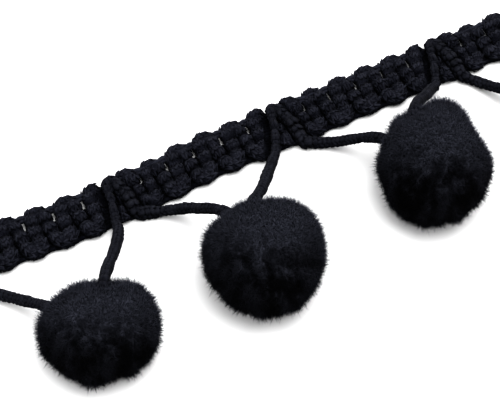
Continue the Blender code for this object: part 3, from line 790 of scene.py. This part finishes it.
def laid_cord_path():
    """The cord's middle line, along and across, and its radius."""
    random = np.random.default_rng(HAND_SEED)
    turns = top_turns()
    corners = []
    for left, right in zip(turns, turns[1:]):
        corners += [("top", left), ("bottom", (left + right) / 2)]
    corners.append(("top", turns[-1]))
    corners = [row for row in corners if -HEADING_END < row[1] < HEADING_END]
    rows = []
    for (kind, here), (_, there) in zip(corners, corners[1:]):
        pitch = there - here
        near, far = LEG_SHARE if kind == "top" else (1 - LEG_SHARE[1], 1 - LEG_SHARE[0])
        rows.append((kind, here + near * pitch, here + far * pitch, pitch))
    points, widths = [], []
    for index, (kind, start, end, pitch) in enumerate(rows):
        down = kind == "top"
        radius = min(WIDEST_LEG, pitch / 2 + SQUEEZE)
        high, low = TURN_START, float(recess_depth((start + end) / 2)) - TURN_START
        first, last = (high, low) if down else (low, high)
        sway, stray = random.normal(0.0, UNEVEN, 2)
        for share in LEG_PLACES:
            along = start + (end - start) * share + sway * math.sin(math.pi * share)
            points.append((along, first + (last - first) * share))
            widths.append(radius)
        if index + 1 < len(rows):
            after = rows[index + 1][1]
            turn_radius = min(TURN_RADIUS, radius)
            crest, bulge = EDGE_CREST - turn_radius + stray, TOP_BULGE
            if down:
                crest, bulge = float(recess_depth((end + after) / 2)) - crest, BOTTOM_BULGE
            points += turn_arc(end, after, crest, last, bulge)
            widths += [turn_radius] * len(ARC_ANGLES)
    line = smooth_route(np.column_stack([points, widths]), LAID_STEP)
    for inner in CHAIN_LINES[1:3]:
        line[:, 2] *= 1.0 - PINCH * np.exp(-((line[:, 1] - inner) / PINCH_WIDTH) ** 2)
    return line


laid_line = laid_cord_path()
print("the laid cord is", round(run_along(laid_line)[-1]), "mm long")

# %% [markdown]
# ## How the braid settles
# A cord that is only laid along its path looks blown up. On the real braid the chain lines draw
# creases into it, the festoon cord presses it down where it crosses, and hardly any light gets down
# between the legs. More nodes could do all this. It is shorter to read the finished mesh as a table
# of points, move each by where it lies, and lower its paleness where it lies deep, which paints that
# shade into the colour.

# %% How far the festoon cord presses the braid down
# Columns of a route: along, across, height, radius, free
NO_LIMIT = 99.0
PRESS_ABOVE = 1.0  # a run this much higher than the crossing presses nothing
PRESS_REACH = 15.0  # and no hairpin presses farther away than this
PRESS_UNDER = 0.4  # the braid lies this share of the radius below the cord's middle
CHANNEL_UNDER = 1.2  # and this much more on the left of the left leg
CHANNEL_GAP = 0.55  # the dark gap on the left of the festoon cord's left leg
LEAST_HEIGHT = 0.4  # the braid is never pressed flatter than this
PRESS_START = 0.9  # the braid starts to rise at this share of the cord's radius
PRESS_EASE = 0.5  # and is back at its height over about this length
PRESS_RISE = 1.5  # how steeply it rises


def press_height(points):
    """The most height that the festoon cord leaves to the braid at each place."""
    limit = np.full(len(points), NO_LIMIT)
    for line in routes.values():
        low = line[line[:, 2] < CROSSING_HEIGHT + PRESS_ABOVE]
        near = np.abs(points[:, 0] - low[:, 0].mean()) < PRESS_REACH
        away = np.linalg.norm(points[near, None, :2] - low[None, :, :2], axis=2)
        along, _, height, radius, free = low[away.argmin(axis=1)].T
        free = free * (points[near, 0] < along)
        floor = np.maximum(height - radius * (PRESS_UNDER + CHANNEL_UNDER * free), LEAST_HEIGHT)
        outside = away.min(axis=1) - radius * PRESS_START - CHANNEL_GAP * free
        rise = np.maximum(0.0, outside) / PRESS_EASE
        limit[near] = np.minimum(limit[near], floor + rise * rise * PRESS_RISE)
    return limit


under = press_height(routes[0.0][:, :2]).min()
print("the middle hairpin leaves the braid", round(float(under), 2), "mm of its height")

# %% Creases, and the painted light and shade on the yarn
LOW_SIDE = -2.0  # the recess moves only the chain line that lies below this, across the braid
CREASE_DEPTHS = (0.4, 0.6, 0.6, 0.45)  # of the four chain lines
CREASE_WIDTHS = (0.42, 0.5, 0.5, 0.42)
# Each crease is also painted darker, as its shade:
CREASE_SHADES = (0.2, 0.55, 0.55, 0.4)  # how much darker the yarn is in each
CREASE_POWER = 1.3  # how quickly a crease fades below the crests

# Nothing lights the crevices between the legs, and the sides of the turns are lit from outside: so
# the colour is painted dark deep between the legs and low down, and painted paler on the turns' sides.
CREVICE = 0.1  # the share of its paleness that it keeps deep between two legs
LIT_HEIGHTS = (0.7, 2.0)  # it is darkest below the first height and palest over the second
OUTSIDE = (3.3, 4.2)  # across: where the outside of the turns begins and is whole
OUTSIDE_HEIGHT = 0.9  # it is lit from this height up
OUTSIDE_LIGHT = 0.8


def read_values(mesh, name, size=1):
    """A mesh attribute as an array, with size numbers to a point."""
    data = mesh.attributes[name].data
    flat = np.empty(len(data) * size)
    data.foreach_get("vector" if size > 1 else "value", flat)
    return flat.reshape(-1, size) if size > 1 else flat


def settle_braid(mesh):
    """Flattens wide legs, presses creases and channels, paints their shade and the turns' light, adds
    the drift.
    """
    points = read_values(mesh, "position", 3) / MM
    girth = read_values(mesh, "girth") / MM
    proud = read_values(mesh, "proud")
    points[:, 2] *= np.minimum(1.0, LEG_RADIUS / np.maximum(girth, LEG_RADIUS))
    recess = recess_depth(points[:, 0])
    outside = smoothstep(*OUTSIDE, np.abs(points[:, 1]) + recess)
    share = np.clip(points[:, 2] / BRAID_HEIGHT, 0.0, 1.0) ** CREASE_POWER
    for across, depth, width, shade in zip(CHAIN_LINES, CREASE_DEPTHS, CREASE_WIDTHS, CREASE_SHADES):
        away = (points[:, 1] - across - recess * (across < LOW_SIDE)) / width
        crease = np.exp(-away * away)
        points[:, 2] -= depth * crease * share
        proud *= 1.0 - shade * crease
    points[:, 1] += drift(points[:, 0])
    points[:, 2] *= np.minimum(1.0, press_height(points) / BRAID_HEIGHT)
    # Painted shade deep between the legs and low down, and painted light on the outsides of the turns.
    outside *= smoothstep(0.0, OUTSIDE_HEIGHT, points[:, 2]) * OUTSIDE_LIGHT
    lit = np.maximum(smoothstep(*LIT_HEIGHTS, points[:, 2]), outside)
    mesh.attributes["proud"].data.foreach_set("value", proud * (CREVICE + (1 - CREVICE) * lit))
    mesh.vertices.foreach_set("co", (points * MM).ravel())
    mesh.update()


print("creases:", len(CHAIN_LINES), "lines, up to", max(CREASE_DEPTHS), "mm deep")

# %% Lay the cord on the table and settle it
HEADING_COURSE = 0.7
HEADING_COLUMNS = 16
HEADING_THICKNESS = 0.07
HEADING_SEED = 1
LOWEST_STITCH = 0.5  # no stitch is laid lower than this, where the core lies on the table
CORE_SIDES = 12

# The third column is the radius, and a cord's middle lies as high over the table as its radius.
path = path_object("laid_cord_path", laid_line, laid_line[:, 2])
heading = grow("laid_cord", path, knitted_cord, {
    "Stitch": stitch, "Course": HEADING_COURSE * MM, "Columns": HEADING_COLUMNS,
    "Thickness": HEADING_THICKNESS * MM, "Lowest": LOWEST_STITCH * MM, "Core sides": CORE_SIDES,
    "Seed": HEADING_SEED, "Material": yarn})
settle_braid(heading.data)
report(heading)

# %% [markdown]
# ## The chain stitches, and a dark filler
# Four threads are worked along the braid in chain stitch. They are drawn so tight that they sink
# into it: a chain only shows where it bridges from bump to bump at the upper edge. Behind the legs
# of the laid cord more strands lie low, side by side, and close the valleys between the legs from
# below. They are a dark filler, painted shade where the table would show in the valleys. Their
# loops would hardly be seen, so each is a plain strand at a height of its own.

# %% The tree of a thread, and the strands
# Most strands lie low between the chain lines: the dark filler, painted shade in the valleys.
# Columns: across, radius, height
STRANDS = (
    (-3.5, 0.4, 0.6), (-2.75, 0.34, 0.42), (-2.2, 0.34, 0.42), (-1.65, 0.34, 0.42),
    (-1.1, 0.34, 0.5), (-0.55, 0.34, 0.42), (0.0, 0.34, 0.42), (0.55, 0.34, 0.42),
    (1.0, 0.3, 0.35), (2.72, 0.4, 1.3), (3.2, 0.42, 1.5),
)
STRAND_WAVE = 0.1  # how far a strand strays from its line, over each leg
STRAND_SWELL = 0.12  # how much thicker and thinner it gets
STRAND_LOWEST = 1.15  # the least height of its middle, as a share of its radius
STRAND_END = HEADING_END - 1.0  # the strands stop a little before the braid's ends
THREAD_STEP = 0.45
THREAD_SIDES = 5
# Painted shade: a thread is darker the lower it lies between the legs.
THREAD_HEIGHTS = (0.8, 1.8)  # it is darkest below the first height and palest over the second
THREAD_PAINTED_LIGHT = 0.75


def thread_tree():
    """A plain tube along each line of the source, painted paler where it lies higher, darker where low.
    """
    tree, size = new_group("thread", {"Sides": "Int", "Material": "Material"})
    line = upright_line(tree, size["Geometry"])
    made = tube(tree, line, size["Sides"], tree.read("girth"))
    low, high = THREAD_HEIGHTS
    lit = tree.split(tree.place())["Z"].ramp(low * MM, high * MM)
    return end_tree(tree, [tree.store(made, "proud", lit * THREAD_PAINTED_LIGHT)], size["Material"])


def strand(across, radius, height):
    """One strand as points with its radius, from end to end of the braid."""
    turns = np.array(top_turns())
    gaps = np.sort(np.concatenate([turns, (turns[:-1] + turns[1:]) / 2]))
    along = np.arange(-STRAND_END, STRAND_END, THREAD_STEP)
    index = np.clip(np.searchsorted(gaps, along) - 1, 0, len(gaps) - 2)
    share = (along - gaps[index]) / (gaps[index + 1] - gaps[index])
    recess = recess_depth(along) * (across < LOW_SIDE)
    swing = STRAND_WAVE * np.cos(math.tau * share)
    places = np.column_stack([along, across + recess + swing + drift(along)])
    heights = np.clip(press_height(places) - radius, radius * STRAND_LOWEST, height)
    girth = radius * (1.0 + STRAND_SWELL * np.cos(math.tau * 2 * share))
    return np.column_stack([places, heights, girth])


def strand_object():
    """All strands as one object of separate lines."""
    rows, edges = [], []
    for across, radius, height in STRANDS:
        start = sum(len(row) for row in rows)
        rows.append(strand(across, radius, height))
        edges += [(start + i, start + i + 1) for i in range(len(rows[-1]) - 1)]
    rows = np.vstack(rows) * MM
    return add_mesh("chain_path", rows[:, :3].tolist(), edges, values={"girth": rows[:, 3]})


chains_and_shade_filler = grow("chain_stitches", strand_object(), thread_tree(), {
    "Sides": THREAD_SIDES, "Material": yarn})
report(chains_and_shade_filler)

# %% [markdown]
# ## The pompoms' outline
# A pompom isn't quite a ball. Its sizes along, across and up differ a little, it has a few broad
# swells and flatter sides, small soft lumps, a hollow where the festoon cord draws the pile in, and
# a flat spot where it rests. A ball could be sculpted by hand, but one function that gives the
# outline in any direction serves both the ball and the ends of the cords.

# %% The outline in any direction
# Columns: name, along, across, half length, half width, half height, turn in degrees
POMPOMS = (
    ("pompom_1", -43.7, -23.9, 9.4, 8.1, 7.9, -27.0),
    ("pompom_2", -16.1, -24.4, 9.4, 9.6, 9.2, -27.0),
    ("pompom_3", 15.5, -21.3, 9.4, 10.1, 9.3, -27.0),
    ("pompom_4", 45.2, -23.8, 9.5, 9.1, 8.9, 20.0),
)
# Columns: name, azimuth and elevation in degrees, height
SWELLS = (
    ("pompom_1", 9.0, 24.0, 0.6),
    ("pompom_1", -134.0, -31.0, 0.3),
    ("pompom_1", 106.0, 25.0, -0.4),
    ("pompom_2", 14.0, 22.0, 0.5),
    ("pompom_2", 98.0, 27.0, 0.1),
    ("pompom_2", 166.0, -8.0, 0.4),
    ("pompom_3", 3.0, 18.0, -2.2),
    ("pompom_3", 54.0, 32.0, 0.7),
    ("pompom_3", -134.0, -31.0, 0.5),
    ("pompom_4", 150.0, 10.0, -0.7),
    ("pompom_4", -40.0, 20.0, 0.5),
)
SWELL_SPREAD = 0.1  # the larger, the broader a swell is
LUMPS = 22  # small lumps at random places, up or down by LUMP_SIZE
LUMP_SIZE = 0.25
LUMP_SPREAD = 0.16
REST_DEPTH = 0.85  # how far the outline would reach into the table
DIMPLE_DEPTH = 1.5  # of the hollow round the end of a cord
DIMPLE_SPREAD = 2.6
CORD_SUNK = 1.3  # how far inside the outline a cord's end is hidden
SAG = 1.0  # how far the pile sinks where it lies on the table
print("swells:", len(SWELLS), "in all, and", LUMPS, "lumps on each pompom")


# %% A pompom as a function of the direction
class Ball:
    """The outline of one pompom."""

    def __init__(self, row, seed):
        self.name, along, across, self.long, self.wide, self.high, turn = row
        self.middle = np.array((along, across, self.high - REST_DEPTH))
        angle = math.radians(turn)
        self.aside = np.array((math.cos(angle), math.sin(angle), 0.0))
        self.ahead = np.array((-math.sin(angle), math.cos(angle), 0.0))
        random = np.random.default_rng(seed)
        aims = random.normal(size=(LUMPS, 3))
        aims /= np.linalg.norm(aims, axis=1)[:, None]
        rises = random.uniform(-LUMP_SIZE, LUMP_SIZE, LUMPS)
        spreads = np.full(LUMPS, LUMP_SPREAD)
        for name, azimuth, elevation, rise in SWELLS:
            if name == self.name:
                turn, lift = math.radians(azimuth), math.radians(elevation)
                level = math.cos(lift)
                aim = (math.cos(turn) * level, math.sin(turn) * level, math.sin(lift))
                aims = np.vstack([aims, aim])
                rises = np.append(rises, rise)
                spreads = np.append(spreads, SWELL_SPREAD)
        self.aims, self.rises, self.spreads = aims, rises, spreads
        self.ends = []

    def depth(self, points):
        """Below 1 inside the ball's ellipsoid, and above 1 outside it."""
        offset = points - self.middle
        aside, ahead = offset @ self.aside, offset @ self.ahead
        return (aside / self.long) ** 2 + (ahead / self.wide) ** 2 + (offset[:, 2] / self.high) ** 2

    def surface(self, aims, proud):
        """Points of the outline in many directions, moved out by proud, with their outward aims."""
        stretch = aims[:, :1] * self.long * self.aside + aims[:, 1:2] * self.wide * self.ahead
        stretch[:, 2] = aims[:, 2] * self.high
        outward = stretch / np.linalg.norm(stretch, axis=1)[:, None]
        bumps = np.exp((outward @ self.aims.T - 1.0) / self.spreads) @ self.rises
        points = self.middle + stretch + outward * (proud + bumps)[:, None]
        for end in self.ends:
            away = np.linalg.norm(points - end, axis=1) / DIMPLE_SPREAD
            points = points - outward * (DIMPLE_DEPTH * np.exp(-away * away))[:, None]
        sunk = SAG * (1.0 - smoothstep(0.0, self.middle[2], points[:, 2]))
        points[:, 2] = np.maximum(points[:, 2] - sunk, 0.0)
        return points, outward


balls = [Ball(row, seed) for seed, row in enumerate(POMPOMS)]
print("pompoms:", [ball.name for ball in balls])


# %% Where the cords end in the pile
def trim_into_ball(line, ball):
    """The route cut where it is well inside the pile, after noting where it goes in."""
    depth = ball.depth(line[:, :3])
    ball.ends.append(line[np.flatnonzero(depth < 1.0)[0], :3])
    inside = (1.0 - CORD_SUNK / ball.high) ** 2
    sunk = np.flatnonzero(depth < inside)
    return line[:sunk[0] + 1] if len(sunk) else line


# A pompom hangs on the right run of one hairpin and on the left run of the next. The outermost two
# runs go to no pompom, and are cut off plain.
for ball, before, after in zip(balls, HAIRPINS, HAIRPINS[1:]):
    routes[before] = trim_into_ball(routes[before], ball)
    routes[after] = trim_into_ball(routes[after][::-1], ball)[::-1]
print("cord ends in the pile:", {ball.name: len(ball.ends) for ball in balls})

# %% [markdown]
# ## The festoon cord
# It is the same kind of knitted cord on fewer needles. A tree with named sizes can be used again, so
# the tree of the laid cord makes it too, with fewer columns and longer, plumper stitches.

# %% Five lengths of festoon cord
FESTOON_COURSE = 0.9
FESTOON_COLUMNS = 6
FESTOON_THICKNESS = 0.24
FESTOON_SEED = 10  # between one length and the next
NO_LOWEST = -1.0  # the cord hangs free and keeps all its stitches

festoons = []
for number, (hairpin, line) in enumerate(routes.items(), 1):
    path = path_object("festoon_path", line[:, :3], line[:, 3])
    piece = grow(f"festoon_cord_{number}", path, knitted_cord, {
        "Stitch": stitch, "Course": FESTOON_COURSE * MM, "Columns": FESTOON_COLUMNS,
        "Thickness": FESTOON_THICKNESS * MM, "Lowest": NO_LOWEST, "Core sides": CORE_SIDES,
        "Seed": FESTOON_SEED * number, "Material": festoon_yarn})
    festoons.append(piece)
    report(piece)

# %% [markdown]
# ## The pile
# A pompom is thousands of cut fibre ends. A hair system would be lost in the export, so the pile is
# real mesh: a ball first, and then Geometry Nodes scatters fibres over it, each a closed spike of a
# few triangles. Above, towards the braid, the pile is even and pale. In front it is painted into
# shade, and it parts in hollows, real dents that are painted darker still as their shade, which run
# downwards in streaks. The fibres lean with a slow noise, so that they gather in tufts, and a few
# long thin ones make a haze at the outline.

# %% Fibres
SPIKE_SIDES = 3
SPIKE_TAPER = 0.45  # how much narrower a spike gets on its way to the tip
# Painted shade: a fibre is darker at its root, deep in the pile, and paler at its tip.
SPIKE_PAINTED_LIGHT = (0.75, 0.2)  # a fibre's paleness at its root, and how much paler its tip is
HAIR_BEND = 6.0  # how far a hair's tip bends aside, in half widths


def spike(name, bend, rings):
    """A three-sided closed spike along Z, with its root at the origin and its tip at 1."""
    places, faces = [], [(0, 2, 1)]
    for share in np.arange(rings) / rings:
        places += ring(SPIKE_SIDES, 1.0 - SPIKE_TAPER * share, bend * share * share, share)
    places.append((bend, 0.0, 1.0))
    for level in range(rings):
        for side in range(SPIKE_SIDES):
            here, after = (level * SPIKE_SIDES + step % SPIKE_SIDES for step in (side, side + 1))
            if level + 1 < rings:
                faces.append((here, after, after + SPIKE_SIDES, here + SPIKE_SIDES))
            else:
                faces.append((here, after, len(places) - 1))
    proud = [SPIKE_PAINTED_LIGHT[0] + SPIKE_PAINTED_LIGHT[1] * place[2] for place in places]
    return add_mesh(name, places, faces=faces, values={"proud": proud})


fibre = spike("fibre", 0.0, 1)
hair = spike("hair", HAIR_BEND, 2)
report(fibre)
report(hair)

# %% The tree of a ball with hollows
HOLLOW_SIZE = 2.2  # distance between hollows
HOLLOW_DEPTH = 0.8
HOLLOW_STRETCH = (1.0, 1.0, 0.34)  # less change up and down makes upright streaks
HOLLOW_DETAIL = 3.0
HOLLOW_EDGE = (0.38, 0.6)  # the noise at a hollow's rim and in its middle
# Painted shade: the hollows are darker, and so is the side that faces front and down.
HOLLOW_SHADE = 0.92  # how much darker a hollow is
OPEN_SIDE = (-0.42, -0.82, -0.39)  # the way that the side with the hollows faces
OPEN_EDGE = (-0.5, 0.5)  # how far a place faces that way where the hollows begin and are whole
SHADE_EDGE = (-0.5, 0.8)  # and where the shade of that side begins and is whole
SIDE_SHADE = 0.58  # how much darker that side is
BALL_PAINTED_LIGHT = 0.75  # the ball's paleness outside the hollows
GRAIN_SIZE = 0.5
GRAIN_DEPTH = 0.06
GRAIN_SHADE = 0.3  # how much the grain changes that


def hollowed_ball_tree():
    """Sinks hollows and a fine grain into a ball; keeps the painted shade and the grain's tone at each
    point.
    """
    tree, size = new_group("hollowed ball", {
        "Hollow size": "Float", "Hollow depth": "Float", "Grain size": "Float", "Grain depth": "Float"})
    place = tree.place()
    normal = tree.node("GeometryNodeInputNormal")
    streaked = tree.vector("MULTIPLY", place, HOLLOW_STRETCH)
    patch = tree.noise(streaked, size["Hollow size"], HOLLOW_DETAIL)
    facing = tree.vector("DOT_PRODUCT", normal, OPEN_SIDE)["Value"]
    hollow = patch.ramp(*HOLLOW_EDGE) * facing.ramp(*OPEN_EDGE)
    # Painted shade, in the hollows and on the side that faces front and down.
    shade = (1.0 - hollow * HOLLOW_SHADE) * (1.0 - facing.ramp(*SHADE_EDGE) * SIDE_SHADE)
    grain = tree.noise(place, size["Grain size"])
    lift = (grain - 0.5) * 2.0 * size["Grain depth"] - hollow * size["Hollow depth"]
    proud = (BALL_PAINTED_LIGHT + (grain - 0.5) * GRAIN_SHADE) * shade
    made = tree.store(size["Geometry"], "proud", proud)
    made = tree.store(made, "shade", shade)
    made = tree.move(made, "Offset", tree.vector("SCALE", normal, lift))
    tree.node("NodeGroupOutput", {}, {"Geometry": made})
    return tree.group


# %% The tree that scatters fibres
GATHER = 2.5  # how much more the fibres lean together than each strays by itself
GATHER_ROUGHNESS = 0.5
NOISE_MIDDLE = (0.5, 0.5, 0.5)  # the colour of a noise strays round this


def pile_tree():
    """Scatters spikes over a piece and keeps the piece or leaves it out."""
    tree, size = new_group("pile", {
        "Spike": "Object", "Density": "Float", "Shortest": "Float", "Longest": "Float",
        "Half width": "Float", "Lean": "Float", "Tuft size": "Float", "Lowest": "Float",
        "Seed": "Int", "Keep piece": "Bool", "Material": "Material"})
    scattered = tree.node("GeometryNodeDistributePointsOnFaces", {"distribute_method": "RANDOM"}, {
        "Mesh": size["Geometry"], "Density": size["Density"], "Seed": size["Seed"]})
    points = delete_below(tree, scattered, size["Lowest"])

    gather = tree.noise(tree.place(), size["Tuft size"], roughness=GATHER_ROUGHNESS)["Color"]
    gather = tree.vector("SUBTRACT", gather, NOISE_MIDDLE)
    aim = tree.vector("SCALE", gather, size["Lean"] * GATHER)
    stray = tree.random((-1.0, -1.0, -1.0), (1.0, 1.0, 1.0), size["Seed"] + 1, "FLOAT_VECTOR")
    aim = tree.vector("ADD", aim, tree.vector("SCALE", stray, size["Lean"]))
    aim = tree.vector("ADD", aim, scattered["Normal"])
    upright = tree.node("FunctionNodeAlignRotationToVector", {"axis": "Z"}, {"Vector": aim})
    turned = tree.turn(upright, Z_AXIS, tree.random(0.0, math.tau, size["Seed"] + 2))

    chance = tree.random(0.0, 1.0, size["Seed"] + 3)
    reach = size["Shortest"] + (size["Longest"] - size["Shortest"]) * chance * chance
    scale = tree.combine(size["Half width"], size["Half width"], reach)
    grown = copy_onto(tree, points, size["Spike"], turned, scale)
    kept = tree.node("GeometryNodeSwitch", {"input_type": "GEOMETRY"}, {
        "Switch": size["Keep piece"], "True": size["Geometry"]})
    return end_tree(tree, [kept, grown], size["Material"])


hollowed_ball = hollowed_ball_tree()
pile = pile_tree()
print("pile trees:", len(hollowed_ball.nodes), "and", len(pile.nodes), "nodes")

# %% Four pompoms
BALL_DEPTH = 0.65  # the ball lies this far inside the pompom's outline, under the short fibres
BALL_LEVEL = 6  # how often the ball's triangles are divided
POMPOM_SEED = 100  # between one pompom and the next
HAIR_SEED = 50  # and between a pompom's fibres and its hairs

# Columns: number for each square millimetre, shortest, longest, half width, lean, tuft size, lowest
FIBRES = (30.0, 0.5, 1.6, 0.042, 0.9, 1.2, 0.3)
HAIRS = (2.0, 1.0, 2.1, 0.024, 0.6, 1.4, 0.9)


def ball_object(ball):
    """A ball of small, even triangles on the pompom's outline."""
    mesh = bmesh.new()
    bmesh.ops.create_icosphere(mesh, subdivisions=BALL_LEVEL, radius=1.0)
    aims = np.array([vert.co[:] for vert in mesh.verts])
    points, _ = ball.surface(aims, -BALL_DEPTH)
    for vert, point in zip(mesh.verts, points):
        vert.co = point * MM
    data = bpy.data.meshes.new(ball.name)
    mesh.to_mesh(data)
    mesh.free()
    return add_object(ball.name, data)


def pile_sizes(pattern, row, seed, keep_piece):
    """A row of sizes in millimetres as the named inputs of the pile's tree."""
    density, shortest, longest, half_width, lean, tuft, lowest = row
    return {
        "Spike": pattern, "Density": density / MM ** 2, "Shortest": shortest * MM,
        "Longest": longest * MM, "Half width": half_width * MM, "Lean": lean,
        "Tuft size": tuft * MM, "Lowest": lowest * MM, "Seed": seed, "Keep piece": keep_piece,
        "Material": pile_yarn}


pompoms = []
for number, ball in enumerate(balls, 1):
    core = grow("hollowed", ball_object(ball), hollowed_ball, {
        "Hollow size": HOLLOW_SIZE * MM, "Hollow depth": HOLLOW_DEPTH * MM,
        "Grain size": GRAIN_SIZE * MM, "Grain depth": GRAIN_DEPTH * MM})
    copy = add_object("hollowed_copy", core.data.copy())
    seed = POMPOM_SEED * number
    piece = grow("short_pile", core, pile, pile_sizes(fibre, FIBRES, seed, True))
    fuzz = grow("fuzz", copy, pile, pile_sizes(hair, HAIRS, seed + HAIR_SEED, False))
    with bpy.context.temp_override(active_object=piece, selected_editable_objects=[piece, fuzz]):
        bpy.ops.object.join()
    piece.name = f"pile_{number}"
    pompoms.append(piece)
    report(piece)

# %% [markdown]
# ## Hand the pieces over
# The stitch, the fibre and the hair were only patterns to copy from, so they go. Every piece rides
# on the one body. All but the chain stitches and their dark filler stand for a solid, which then
# isn't shown.

# %% Ride, replace and finish
for pattern in (stitch, fibre, hair):
    bpy.data.objects.remove(pattern, do_unlink=True)

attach(heading, "root")
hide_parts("heading")
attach(chains_and_shade_filler, "root")
for number, piece in enumerate(festoons, 1):
    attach(piece, "root")
    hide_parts(f"festoon_{number}")
for number, piece in enumerate(pompoms, 1):
    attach(piece, "root")
    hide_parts(f"pompom_{number}")

total = sum(triangles(piece) for piece in (heading, chains_and_shade_filler, *festoons, *pompoms))
print("triangles in all:", total, "made in", round(time.time() - STARTED, 1), "s")
